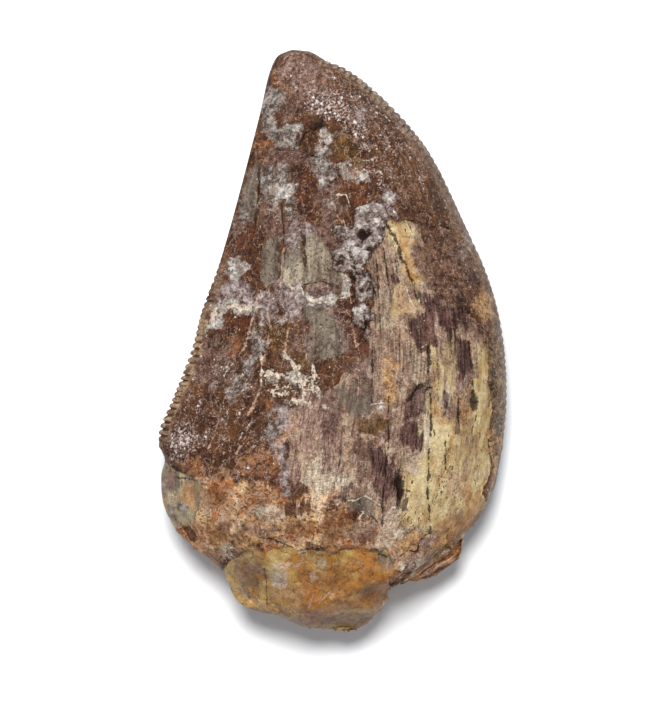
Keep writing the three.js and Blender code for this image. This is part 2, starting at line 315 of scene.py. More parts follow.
def saw_wave(v, w, nearer):
    """The slits as a share from 0 to 1: sharp valleys of a cosine along the edge, slanted with the distance
    inwards. Slower sines make their spacing and their depth uneven."""
    left = w < 0.5
    slant = np.where(left, along(LEFT_SLANT, v), along(RIGHT_SLANT, v))
    wear = np.where(left, along(LEFT_WEAR, v), along(RIGHT_WEAR, v))
    turn = DENTICLES * v - slant * nearer + 0.25 * np.sin(37 * v)
    size = 0.7 + 0.3 * np.cos(7.3 * np.floor(turn + 0.5) + 2 * np.sin(31 * v))
    return np.where(v < 1, np.abs(np.cos(np.pi * turn)) ** SLIT_SHARPNESS * wear * size, 0)


def slits(v, w, nearer):
    """How deep the slits cut, fading out over the edge band."""
    depth = np.where(w < 0.5, LEFT_DEPTH, RIGHT_DEPTH)
    return saw_wave(v, w, nearer) * (1 - smoothstep(0, EDGE_BAND, nearer)) * depth


# Bare dentine
# Where the enamel has flaked off, fibrous cream, yellow and purple dentine lies a step lower. Its fibres run
# down the tooth, and it is split by drying cracks.
ENAMEL = 0.3  # mm, the step
BARE_DENTINE = [(4.4, 9.4), (6.5, 9.1), (7.6, 6.2), (8.2, 3.9), (11.0, 1.7), (12.2, 0.7), (12.7, -6.5),
                (12.4, -13.3), (10.5, -15.7), (5.3, -19.0), (4.1, -16.5), (3.1, -14.5), (-0.2, -12.6),
                (-3.0, -11.3), (-3.8, -8.1), (-4.1, -5.5), (-1.2, -4.6), (1.4, -2.6), (2.8, 0.7),
                (3.3, 6.2)]
UNDER_SCAR = [(-7.0, 6.0), (-2.0, 8.5), (3.0, 4.0), (5.0, -3.0), (2.0, -9.0), (-3.5, -10.5), (-8.0, -4.0)]
SCAR_DROP = 0.35

# Mineral crust
# White and lilac minerals from the ground grew over the edge of the enamel as a crust of small knobs, with
# black painted shade in the low places between the knobs.
MINERAL_CRUST = plan([(354, 208), (374, 205), (388, 216), (386, 238), (376, 252), (366, 262), (374, 286),
                      (377, 299), (368, 306), (370, 318), (363, 328), (356, 318), (355, 304), (349, 298),
                      (351, 284), (343, 272), (332, 268), (330, 252), (342, 242), (334, 234), (338, 222),
                      (352, 226)])
CRUST_KNOB = 0.75  # mm, size of a knob
CRUST_RISE = 0.34  # mm

# Broken root
# The root is broken off short. A rough orange matrix rings its base, a flat tongue of ochre stone sticks out
# of it, a chip on the left shows grey-green stone, and a sunk red-brown filling shows under the right edge.
BROKEN_FILLING = [(4.9, -19.3), (7.0, -17.8), (9.0, -16.6), (10.5, -15.6), (12.0, -14.3), (14.0, -17.0),
                  (10.0, -21.0), (5.0, -22.5), (4.6, -21.0)]
ROOT_CHIP = [(-14.5, -9.9), (-12.6, -10.2), (-11.1, -11.0), (-10.7, -13.0), (-11.6, -16.0), (-15, -17),
             (-15, -10)]
ROOT_TONGUE = [(-8.6, -17.6), (-5.0, -16.6), (-0.2, -17.0), (4.2, -16.5), (4.9, -18.0), (4.9, -24),
               (-9.5, -24)]
UNDER_BREAK = [(-13, -13.5), (-6, -15.5), (0, -14.5), (5, -16.0), (11, -13.5), (14, -24), (-14, -24)]
FILLING_DROP = 2.4  # mm
CHIP_DROP = 1.3
TONGUE_DROP = 0.5
BREAK_DROP = 0.8
MATRIX_LUMPS = 0.16
BREAK_LUMPS = 0.2
MATRIX_TOP = -10.5  # mm, y where the matrix starts in the middle of the tooth
MATRIX_FULL = -12.5  # where it is at its roughest
MATRIX_SLOPE = 0.12  # mm that both drop by for each mm to the right
# For each zone the size in mm by which its outline strays, and the seed of its own random field
STRAYS = {"dentine": (0.4, 11), "filling": (0.25, 12), "stone": (0.25, 13), "tongue": (0.3, 14),
          "matrix": (0.8, 15), "crust": (0.45, 16), "pit": (0.3, 17)}
EDGE_LUMP = 1.7  # mm, the size of the largest bays and points of a ragged outline


def ragged(kind, by, p):
    """Distance by from a zone's area, with its ragged outline worked in."""
    stray, seed = STRAYS[kind]
    return by + stray * rough(p, EDGE_LUMP, seed, 5)


def covers(kind, area, p, edge):
    """A share from 0 outside a zone's area to 1 inside, over an edge of the given width."""
    return smoothstep(-edge / 2, edge / 2, ragged(kind, inside_by(area, p), p))


def lumps(x, y):
    """Low lumps, as crossed waves."""
    return np.sin(2.1 * x + 0.7 * y) * np.sin(1.7 * y - 0.9 * x) + 0.6 * np.sin(3.3 * x - 2.6 * y)


def matrix_share(p):
    """1 where the rough matrix rings the root, 0 on the crown and on bare dentine."""
    x, y = p[..., 0], p[..., 1]
    ring = smoothstep(MATRIX_TOP, MATRIX_FULL, y + MATRIX_SLOPE * x)
    return ring * (1 - covers("dentine", BARE_DENTINE, p, 1))


def upper_relief(p):
    """Steps of the upper face: each area's drop or rise over a sharp, ragged edge."""
    return (
        -ENAMEL * covers("dentine", BARE_DENTINE, p, 0.3)
        - FILLING_DROP * covers("filling", BROKEN_FILLING, p, 0.5)
        - CHIP_DROP * covers("stone", ROOT_CHIP, p, 0.5)
        - TONGUE_DROP * covers("tongue", ROOT_TONGUE, p, 0.4)
        + MATRIX_LUMPS * matrix_share(p) * lumps(p[..., 0], p[..., 1])
    )


def lower_relief(p):
    """Steps of the lower face: the broken root and the scar of bare dentine."""
    root = covers("matrix", UNDER_BREAK, p, 0.8)
    scar = covers("dentine", UNDER_SCAR, p, 0.35)
    return -SCAR_DROP * scar - BREAK_DROP * root + BREAK_LUMPS * root * lumps(p[..., 0] + 3, p[..., 1])


def surface(v, w, upper):
    """Points of the skin at stations v, a share w of the way from the left edge to the right one. The height
    is the sheet between the edges, plus or minus the section's bulge and its relief, cut by the flat breaks
    and by the table."""
    left = edge_at(*LEFT_EDGE, v)
    right = edge_at(*RIGHT_EDGE, v)
    width = np.maximum(np.linalg.norm(right - left, axis=-1), 1e-6)
    nearer = np.minimum(w, 1 - w) * width
    cut = slits(v, w, nearer)
    inward = np.where(w < 0.5, 1, -1) * cut / width
    xy = left + (right - left) * (w + inward)[..., None]
    share = section(v, w)
    keel = LINGUAL_BULGE * swell(v) + along(CLEARANCE, v)
    lift_left, lift_right = along(LEFT_EDGE_LIFT, v), along(RIGHT_EDGE_LIFT, v)
    tilt = lift_right - lift_left
    sheet = keel - (lift_left + tilt * SHEET_LEVEL) + lift_left + tilt * w
    flat = np.concatenate([xy, np.where(upper, 0.0, OTHER_SIDE)[..., None]], -1)
    full = swell(v) * share * np.where(upper, LABIAL_BULGE, LINGUAL_BULGE)
    relief = np.where(upper, upper_relief(flat), lower_relief(flat)) * smoothstep(0, RELIEF_FADE, share)
    out = full + relief
    for face, breaks in ((True, UPPER_BREAKS), (False, LOWER_BREAKS)):
        for at, dx, dy in breaks:
            plane = at + dx * xy[..., 0] + dy * xy[..., 1]
            cut_off = soft_min(out, plane - sheet if face else sheet - plane, BREAK_CREASE)
            out = np.where((v > 1) & (upper == face), cut_off, out)
    out = np.maximum(out, LEAST_BULGE * full) - FACE_DEPTH * cut * smoothstep(0, FACE_START, nearer)
    z = np.maximum(0, sheet + np.where(upper, out, -out))
    return np.concatenate([xy, z[..., None]], -1)


# Skin of the tooth
# The skin is a closed ring of columns of points from the tip to the end of the root. The columns beside the
# cutting edges have three times as many points down the crown, for the denticles.
CROWN_ROWS = 198  # three to a denticle
FINER = 3  # times as many in the edge bands
TIP_ROWS = 3
ROOT_ROWS = 100
ROOT_CROWDING = 1.25  # power by which the rows crowd towards the end of the root
WIDEST_BAND = 0.2  # share of the width that an edge band takes near the tip
UPPER_COLUMNS = 150
LOWER_COLUMNS = 84
BAND_COLUMNS = 8


def skin():
    """Stations, shares and sides of all the points, and the triangles between them. A column is a run of
    points from tip to root; one point at the tip and one at the root's end close the ring of columns."""
    tip = (np.arange(TIP_ROWS) + 1) / (TIP_ROWS + 1) / CROWN_ROWS * 2
    root = 2 - (1 - np.arange(1, ROOT_ROWS) / ROOT_ROWS) ** ROOT_CROWDING
    coarse = np.concatenate([tip, np.arange(2, CROWN_ROWS + 1) / CROWN_ROWS, root])
    fine_rows = CROWN_ROWS * FINER
    fine = np.concatenate([tip, np.arange(2 * FINER, fine_rows + 1) / fine_rows, root])
    columns = []
    for upper, core in ((True, UPPER_COLUMNS), (False, LOWER_COLUMNS)):
        face = [("left", k / BAND_COLUMNS) for k in range(BAND_COLUMNS + 1)]
        face += [("core", (k + 1) / core) for k in range(core - 1)]
        face += [("right", k / BAND_COLUMNS) for k in range(BAND_COLUMNS, -1, -1)]
        face = face if upper else face[::-1]
        columns += [(side, share, upper) for side, share in face[:-1]]
    stations, shares, uppers, ladders = [[0.0]], [[0.5]], [[True]], []
    count = 1
    for side, share, upper in columns:
        v = coarse if side == "core" else fine
        width = np.linalg.norm(edge_at(*RIGHT_EDGE, v) - edge_at(*LEFT_EDGE, v), axis=-1)
        band = np.minimum(WIDEST_BAND, EDGE_BAND / np.maximum(width, 0.01))
        w = {"left": band * share, "right": 1 - band * share, "core": band + (1 - 2 * band) * share}[side]
        stations.append(v)
        shares.append(w)
        uppers.append(np.full(len(v), upper))
        ladders.append((np.arange(count, count + len(v)), side != "core"))
        count += len(v)
    triangles = [join(*a, *b) for a, b in zip(ladders, ladders[1:] + ladders[:1])]
    for (a, _), (b, _) in zip(ladders, ladders[1:] + ladders[:1]):
        triangles.append([(0, a[0], b[0]), (a[-1], count, b[-1])])
    stations, shares, uppers = (np.concatenate(q + [[last]]) for q, last in
                                ((stations, 2.0), (shares, 0.5), (uppers, True)))
    return stations, shares, uppers, np.concatenate(triangles)


def join(a, a_fine, b, b_fine):
    """Triangles between neighbouring columns a and b: two to each step, and four where one of them is
    finer."""
    def strip(p, q):
        return np.concatenate([np.stack([p[:-1], p[1:], q[:-1]], 1), np.stack([p[1:], q[1:], q[:-1]], 1)])

    if a_fine == b_fine:
        return strip(a, b)
    crown = TIP_ROWS + CROWN_ROWS - 1  # rows before the root in a coarse column
    crown_fine = TIP_ROWS + (CROWN_ROWS - 2) * FINER + 1
    a_crown, b_crown = (crown_fine, crown) if a_fine else (crown, crown_fine)
    fine, coarse = (a, b) if a_fine else (b, a)
    parts = [strip(a[: TIP_ROWS + 1], b[: TIP_ROWS + 1]), strip(a[a_crown - 1:], b[b_crown - 1:])]
    f = [fine[TIP_ROWS + k: crown_fine - FINER + k: FINER] for k in range(FINER)]
    f.append(fine[TIP_ROWS + FINER: crown_fine: FINER])
    c0, c1 = coarse[TIP_ROWS: crown - 1], coarse[TIP_ROWS + 1: crown]
    for corners in ((f[0], f[1], c0), (f[1], f[2], c0), (f[2], c1, c0), (f[2], f[3], c1)):
        parts.append(np.stack(corners if a_fine else corners[::-1], 1))
    return np.concatenate(parts)


def normals_of(points, triangles):
    """Outward direction at each point: the mean of the directions of the faces round it, weighed by area."""
    a, b, c = (points[triangles[:, k]] for k in range(3))
    face = np.cross(b - a, c - a)
    total = np.stack([sum(np.bincount(triangles[:, k], face[:, axis], len(points)) for k in range(3))
                      for axis in range(3)], -1)
    return total / np.maximum(np.linalg.norm(total, axis=1, keepdims=True), 1e-12)


v, w, upper, triangles = skin()
points = surface(v, w, upper)
normals = normals_of(points, triangles)


def make_piece(name, points, triangles):
    """A Blender object from points in mm and triangles, smooth shaded."""
    mesh = bpy.data.meshes.new(name)
    mesh.vertices.add(len(points))
    mesh.vertices.foreach_set("co", (points * MM).astype(np.float32).ravel())
    mesh.loops.add(triangles.size)
    mesh.loops.foreach_set("vertex_index", triangles.astype(np.int32).ravel())
    mesh.polygons.add(len(triangles))
    mesh.polygons.foreach_set("loop_start", np.arange(0, triangles.size, 3, dtype=np.int32))
    mesh.update(calc_edges=True)
    mesh.shade_smooth()
    piece = bpy.data.objects.new(name, mesh)
    bpy.context.scene.collection.objects.link(piece)
    return piece


# Marks of the stone
# Stains, clouds and overgrowths of minerals, traced in the plan view. The mesh carries the distance
# to the outlines of each kind of mark in mm, and the shader turns it into a soft, ragged edge.
# Some marks carry painted shade: the dark rim on the right flank in part, the pits, and the mauve strip
# along the lower lip of the tongue.
MARK_REACH = 2.5  # mm, past which a mark's distance is held level
MARK_BEND = 0.42  # mm by which the outlines wander


def plan_areas(areas):
    """Several outlines in mm, from pixels of the photograph."""
    return [plan(area) for area in areas]


MARKS = {
    "tip": plan_areas([[(278, 54), (300, 50), (322, 66), (334, 84), (336, 98), (320, 112), (300, 106),
                        (296, 92), (284, 84), (276, 70)]]),
    "orange": plan_areas([
        [(273, 66), (283, 56), (291, 60), (284, 76), (293, 90), (280, 95), (271, 85)],
        [(256, 139), (270, 137), (273, 148), (263, 153), (253, 149)],
        [(262, 404), (270, 398), (276, 402), (274, 412), (264, 413)],
        [(224, 338), (238, 334), (240, 350), (228, 356)],
        [(174, 460), (200, 459), (204, 474), (186, 475), (176, 468)],
        [(238, 452), (262, 444), (284, 448), (282, 470), (262, 480), (240, 474)],
        [(204, 476), (228, 478), (224, 508), (204, 506)],
        [(284, 524), (300, 518), (316, 524), (310, 534), (288, 536)],
        [(206, 522), (232, 520), (233, 538), (214, 542)],
        [(322, 506), (340, 506), (348, 520), (338, 548), (322, 544)],
    ]),
    "rust": plan_areas([
        [(300, 160), (313, 166), (320, 186), (319, 230), (304, 236), (299, 206)],
        [(342, 183), (374, 182), (377, 198), (372, 218), (354, 224), (345, 206)],
        [(364, 164), (378, 172), (382, 190), (370, 188)],
        [(348, 290), (361, 298), (366, 338), (370, 360), (354, 352), (348, 322)],
        [(244, 272), (251, 262), (262, 262), (264, 271), (260, 287), (254, 289), (248, 279)],
        [(226, 312), (254, 314), (259, 330), (250, 339), (236, 334), (221, 341), (224, 322)],
        [(336, 302), (350, 300), (352, 330), (358, 356), (348, 354), (340, 328)],
        [(268, 470), (282, 466), (284, 492), (270, 496)],
        [(240, 222), (256, 224), (254, 246), (238, 250)],
        [(304, 322), (312, 324), (310, 334), (302, 334)],
        [(338, 510), (356, 514), (358, 521), (338, 521)],
        [(276, 502), (306, 498), (310, 512), (284, 516)],
        [(184, 528), (194, 526), (196, 538), (186, 540)],
    ]),
    "olive": plan_areas([
        [(330, 131), (352, 136), (354, 156), (366, 170), (352, 171), (338, 162), (330, 148)],
        [(270, 318), (292, 318), (290, 350), (270, 351)],
        [(298, 104), (312, 112), (310, 120), (300, 122)],
        [(356, 410), (386, 408), (386, 432), (366, 438), (354, 428)],
        [(250, 322), (262, 322), (264, 336), (254, 338)],
        [(300, 346), (316, 362), (320, 372), (300, 366)],
    ]),
    "mauve": plan_areas([
        [(266, 146), (330, 156), (334, 184), (320, 190), (306, 162), (284, 168), (262, 166)],
        [(320, 184), (339, 184), (341, 224), (324, 226)],
        [(320, 226), (343, 226), (345, 252), (331, 257), (320, 247)],
        [(306, 286), (322, 282), (337, 288), (335, 296), (322, 301), (311, 298)],
        [(292, 324), (304, 326), (302, 352), (289, 362)],
        [(198, 342), (240, 342), (236, 382), (196, 382)],
        [(258, 206), (286, 206), (298, 228), (284, 231), (260, 229)],
        [(282, 96), (300, 98), (302, 112), (286, 120)],
        [(228, 212), (254, 216), (250, 228), (226, 244)],
        [(340, 326), (352, 330), (357, 351), (343, 353)],
        [(360, 330), (372, 334), (376, 400), (352, 396), (352, 360)],
        [(322, 386), (338, 388), (340, 442), (322, 438)],
        [(232, 562), (256, 562), (258, 602), (238, 600)],
        [(236, 520), (268, 524), (272, 534), (244, 532)],
        [(162, 462), (174, 464), (170, 490), (160, 486)],
        [(340, 522), (378, 524), (378, 542), (342, 540)],
        # This strip along the lower lip of the tongue is painted shade.
        [(250, 604), (300, 606), (380, 612), (376, 626), (300, 626), (252, 614)],
    ]),
    "agate": plan_areas([
        [(304, 240), (318, 236), (325, 252), (345, 256), (347, 282), (340, 297), (330, 284), (308, 283),
         (304, 268)],
        [(284, 262), (303, 258), (304, 283), (296, 291), (285, 285)],
    ]),
    "slate": plan_areas([
        [(262, 234), (280, 228), (283, 238), (285, 262), (283, 287), (268, 291), (263, 270)],
        [(284, 252), (303, 247), (304, 262), (284, 266)],
        [(303, 302), (334, 305), (337, 324), (349, 330), (351, 350), (337, 361), (303, 359), (303, 326)],
        [(246, 164), (259, 157), (261, 176), (259, 205), (254, 217), (239, 223), (240, 204), (244, 184)],
        [(340, 384), (372, 386), (374, 404), (362, 414), (343, 412)],
        [(344, 496), (362, 492), (374, 498), (372, 514), (346, 516)],
        [(374, 551), (396, 554), (394, 568), (377, 567)],
        [(160, 470), (171, 466), (176, 482), (169, 498), (179, 518), (168, 516), (159, 494)],
    ]),
    "petal": plan_areas([
        [(299, 392), (323, 389), (327, 412), (320, 432), (308, 440), (300, 424)],
        [(322, 440), (344, 430), (347, 452), (336, 470), (325, 468)],
        [(296, 436), (306, 438), (304, 470), (296, 494), (290, 470)],
    ]),
    "lilac": plan_areas([
        [(221, 283), (240, 279), (252, 289), (257, 300), (250, 308), (240, 302), (222, 303), (209, 314),
         (216, 290)],
        [(279, 282), (300, 284), (305, 300), (300, 317), (282, 319), (277, 300)],
        [(256, 292), (276, 291), (278, 318), (262, 317), (256, 306)],
        [(275, 404), (290, 404), (288, 424), (275, 424)],
        [(280, 438), (292, 438), (290, 494), (281, 494), (279, 466)],
        [(308, 230), (320, 230), (321, 243), (306, 244)],
        [(284, 232), (301, 214), (303, 246), (286, 250)],
        [(382, 198), (400, 198), (396, 218), (382, 218)],
        [(252, 448), (262, 448), (264, 464), (252, 464)],
        [(350, 100), (366, 104), (368, 124), (354, 128)],
    ]),
    "grey": plan_areas([
        [(267, 92), (276, 87), (283, 98), (277, 112), (281, 126), (296, 129), (301, 138), (292, 148),
         (278, 149), (268, 139), (264, 124), (262, 108)],
        [(262, 170), (272, 163), (284, 168), (291, 168), (295, 178), (295, 204), (292, 216), (288, 217),
         (284, 204), (276, 207), (266, 198), (262, 184)],
        [(326, 127), (331, 134), (330, 147), (327, 152), (331, 164), (337, 178), (332, 185), (321, 183),
         (313, 172), (311, 160), (318, 156), (313, 150), (317, 144), (323, 142)],
        [(326, 184), (332, 184), (334, 206), (328, 208)],
        [(246, 360), (260, 357), (261, 372), (250, 379), (243, 370)],
        [(228, 380), (243, 377), (243, 398), (232, 401), (227, 392)],
        [(262, 412), (277, 411), (279, 441), (261, 437)],
        [(250, 330), (265, 328), (267, 352), (252, 354)],
        [(465, 232), (475, 232), (478, 248), (467, 248)],
        [(240, 200), (252, 202), (250, 222), (238, 220)],
        [(176, 500), (184, 504), (180, 520), (172, 514)],
        [(362, 330), (370, 332), (370, 350), (362, 348)],
    ]),
    "pale": plan_areas([
        [(232, 264), (244, 261), (252, 262), (246, 271), (243, 280), (234, 281), (225, 276)],
        [(322, 130), (329, 131), (329, 145), (323, 146)],
        [(286, 124), (298, 125), (297, 134), (288, 134)],
        [(205, 332), (211, 318), (215, 303), (224, 299), (240, 302), (256, 304), (256, 314), (240, 314),
         (226, 310), (220, 313), (214, 328)],
        [(290, 370), (300, 366), (304, 376), (298, 384), (288, 382)],
        [(296, 281), (306, 280), (308, 292), (318, 299), (332, 299), (344, 293), (344, 276), (350, 276),
         (351, 296), (334, 307), (314, 307), (300, 296)],
        [(244, 340), (250, 330), (258, 300), (254, 330)],
        [(268, 372), (281, 370), (283, 378), (272, 381)],
        [(284, 182), (294, 186), (290, 204), (276, 200), (268, 186)],
        [(384, 200), (396, 199), (397, 212), (388, 206)],
        [(322, 184), (334, 180), (334, 184), (324, 187)],
        [(336, 160), (346, 165), (354, 176), (366, 172), (368, 178), (352, 184), (342, 176)],
        [(372, 400), (385, 400), (376, 405)],
    ]),
    "chalk": plan_areas([
        [(250, 504), (268, 500), (284, 512), (278, 523), (260, 519)],
        [(268, 564), (284, 562), (288, 580), (270, 583)],
        [(312, 558), (322, 556), (322, 570), (312, 572)],
        [(202, 476), (208, 474), (206, 510), (202, 508)],
        [(222, 546), (232, 540), (228, 556), (222, 558)],
        [(216, 512), (226, 508), (236, 520), (224, 528)],
        [(318, 512), (340, 508), (346, 514), (326, 520)],
        [(402, 448), (414, 446), (414, 470), (404, 472)],
        [(376, 520), (398, 510), (404, 530), (384, 544)],
    ]),
    "tan": plan_areas([
        [(384, 118), (420, 146), (448, 196), (464, 240), (444, 236), (420, 214), (404, 206), (386, 180),
         (376, 150)],
        [(344, 100), (356, 92), (372, 108), (384, 124), (376, 132), (360, 120)],
        [(430, 236), (448, 240), (450, 262), (434, 258)],
    ]),
    "shell": plan_areas([
        [(304, 289), (312, 283), (324, 281), (333, 284), (338, 291), (335, 299), (324, 302), (311, 299)],
        [(462, 250), (474, 252), (472, 262), (464, 262)],
        [(328, 306), (348, 308), (352, 338), (344, 358), (336, 352), (332, 330)],
        [(304, 322), (312, 324), (312, 346), (305, 350)],
        [(226, 342), (236, 344), (234, 354), (226, 352)],
    ]),
    "umber": plan_areas([
        [(408, 219), (420, 221), (430, 228), (470, 230), (476, 262), (472, 290), (463, 302), (440, 308),
         (430, 296), (424, 262), (414, 240)],
        [(352, 438), (370, 440), (376, 452), (372, 464), (358, 462), (350, 450)],
        [(444, 302), (466, 302), (470, 326), (446, 334)],
        [(384, 404), (390, 404), (388, 440), (376, 440)],
        [(470, 318), (486, 316), (492, 330), (472, 334)],
    ]),
    "bone": plan_areas([
        [(302, 462), (322, 455), (327, 478), (332, 492), (322, 498), (308, 488), (298, 478)],
        [(328, 462), (348, 456), (350, 478), (341, 492), (332, 486), (324, 495), (322, 480)],
        [(412, 388), (428, 386), (430, 450), (420, 458), (414, 444), (420, 420)],
        [(378, 527), (404, 525), (403, 544), (379, 544)],
        [(404, 350), (420, 350), (424, 382), (406, 380)],
        [(374, 300), (386, 298), (388, 330), (376, 332)],
        [(392, 262), (404, 262), (408, 284), (396, 286)],
        [(440, 384), (452, 384), (454, 404), (444, 404)],
    ]),
    "ribs": plan_areas([
        [(369, 246), (380, 241), (392, 258), (397, 290), (391, 312), (390, 344), (373, 344), (371, 300),
         (367, 270)],
        [(394, 335), (424, 340), (426, 384), (396, 384)],
        [(369, 344), (384, 344), (384, 404), (371, 404)],
        [(436, 340), (458, 330), (462, 376), (440, 382)],
        [(404, 462), (396, 520), (384, 520), (390, 462)],
        [(462, 430), (474, 432), (474, 480), (462, 478)],
        [(446, 510), (458, 509), (456, 531), (447, 530)],
        [(394, 430), (404, 440), (402, 460), (394, 458)],
    ]),
    "cream": plan_areas([
        [(404, 458), (416, 452), (420, 424), (424, 392), (430, 398), (442, 402), (456, 418), (472, 424),
         (476, 388), (474, 336), (487, 334), (490, 380), (495, 410), (497, 470), (486, 505), (462, 528),
         (436, 530), (404, 534), (401, 500), (400, 462)],
        [(384, 221), (401, 221), (413, 240), (417, 262), (425, 284), (421, 300), (412, 296), (399, 262),
         (394, 246), (386, 232)],
        [(388, 290), (401, 290), (415, 311), (404, 319), (388, 320)],
        [(428, 348), (438, 346), (440, 372), (430, 376)],
        [(443, 344), (455, 344), (455, 364), (444, 364)],
        [(438, 372), (452, 366), (459, 384), (455, 402), (441, 400), (434, 388)],
    ]),
    "amber": plan_areas([
        [(398, 236), (412, 244), (421, 280), (411, 290), (402, 264)],
        [(462, 392), (472, 393), (475, 416), (468, 425), (461, 410)],
        [(470, 306), (482, 290), (493, 296), (495, 310), (480, 319)],
        [(420, 320), (428, 325), (429, 350), (422, 345)],
        [(432, 398), (446, 404), (456, 420), (446, 426), (434, 414)],
        [(432, 525), (452, 520), (456, 540), (440, 556), (430, 552)],
        [(387, 360), (396, 358), (397, 400), (388, 403)],
        [(400, 536), (420, 532), (418, 556), (398, 552)],
        [(462, 486), (484, 490), (478, 512), (464, 522)],
        [(266, 582), (300, 580), (298, 604), (266, 600)],
        [(234, 534), (262, 540), (258, 558), (236, 552)],
        [(330, 590), (346, 590), (346, 618), (332, 618)],
        [(180, 484), (198, 484), (194, 504), (182, 500)],
        [(165, 496), (171, 497), (171, 510), (165, 508)],
        [(488, 428), (506, 430), (502, 472), (488, 496)],
    ]),
    "blush": plan_areas([
        [(445, 477), (463, 475), (465, 495), (449, 502)],
        [(484, 500), (496, 484), (488, 512), (470, 532), (466, 526)],
        [(344, 438), (353, 438), (351, 463), (344, 471)],
        [(346, 160), (362, 166), (360, 176), (346, 170)],
        [(282, 426), (296, 409), (305, 411), (301, 428), (288, 441), (279, 441)],
        [(462, 334), (472, 334), (472, 350), (464, 350)],
        [(396, 288), (410, 292), (414, 310), (404, 318), (396, 308)],
    ]),
    "russet": plan_areas([
        [(434, 524), (452, 516), (470, 510), (480, 520), (470, 536), (454, 552), (438, 556)],
        [(350, 546), (372, 548), (376, 566), (398, 572), (394, 592), (378, 606), (356, 606), (350, 580)],
        [(294, 560), (324, 566), (328, 606), (318, 620), (300, 612), (296, 590)],
        [(296, 604), (330, 610), (330, 622), (296, 620)],
        [(328, 560), (352, 558), (354, 606), (328, 612)],
    ]),
    "purple": plan_areas([
        [(420, 298), (436, 298), (440, 318), (436, 331), (440, 346), (428, 350), (420, 320)],
        [(438, 306), (462, 304), (466, 322), (452, 334), (440, 328)],
        [(401, 322), (416, 318), (425, 340), (423, 353), (412, 346)],
        [(400, 406), (412, 386), (428, 386), (428, 416), (414, 414), (404, 422)],
        [(398, 426), (410, 417), (420, 434), (420, 452), (410, 456), (397, 440)],
        [(452, 338), (469, 336), (470, 374), (460, 382), (453, 362)],
        [(394, 468), (399, 468), (404, 484), (404, 508), (398, 506), (394, 486)],
        [(384, 282), (394, 280), (394, 292), (386, 292)],
        [(446, 390), (452, 392), (450, 420), (446, 416)],
        [(457, 422), (463, 422), (463, 440), (457, 438)],
        [(346, 478), (352, 480), (344, 500), (334, 500)],
        [(370, 454), (380, 450), (392, 462), (396, 484), (384, 496), (372, 486)],
        [(318, 408), (326, 400), (336, 412), (334, 434), (324, 440), (320, 424)],
    ]),
    # The dark rim on the right flank: the enamel's dark colour, darkened further as painted shade where the
    # flank turns away from the lamp.
    "dark_shaded_rim": plan_areas([[(488, 336), (500, 318), (512, 326), (512, 428), (504, 436), (494, 436), (493, 404),
                        (488, 376)]]),
    "stone": plan_areas([[(150, 462), (166, 460), (176, 472), (201, 480), (200, 500), (192, 522),
                          (176, 528), (150, 520)]]),
    "filling": [BROKEN_FILLING],
    "dentine": [BARE_DENTINE],
    "crust": [MINERAL_CRUST],
    "tongue": [ROOT_TONGUE],
    # The pits are dented into the mesh, and their dark colour in the shader is painted shade.
    "pit": plan_areas([
        [(307, 123), (320, 121), (327, 126), (322, 130), (311, 132)],
        [(293, 392), (298, 381), (304, 393), (301, 400), (295, 398)],
        [(396, 472), (400, 476), (402, 504), (399, 504)],
        [(471, 391), (475, 396), (475, 410), (472, 408)],
        [(362, 233), (370, 235), (366, 240)],
        [(356, 264), (361, 265), (361, 272)],
        [(362, 290), (369, 290), (366, 295)],
        [(425, 304), (429, 306), (430, 322), (427, 320)],
    ]),
    "matrix": plan_areas([[(190, 470), (238, 476), (290, 492), (330, 494), (372, 520), (404, 548),
                           (404, 575), (380, 545), (330, 548), (290, 545), (240, 522), (216, 545),
                           (230, 600), (190, 560), (160, 530), (190, 520), (200, 500)]]),
}
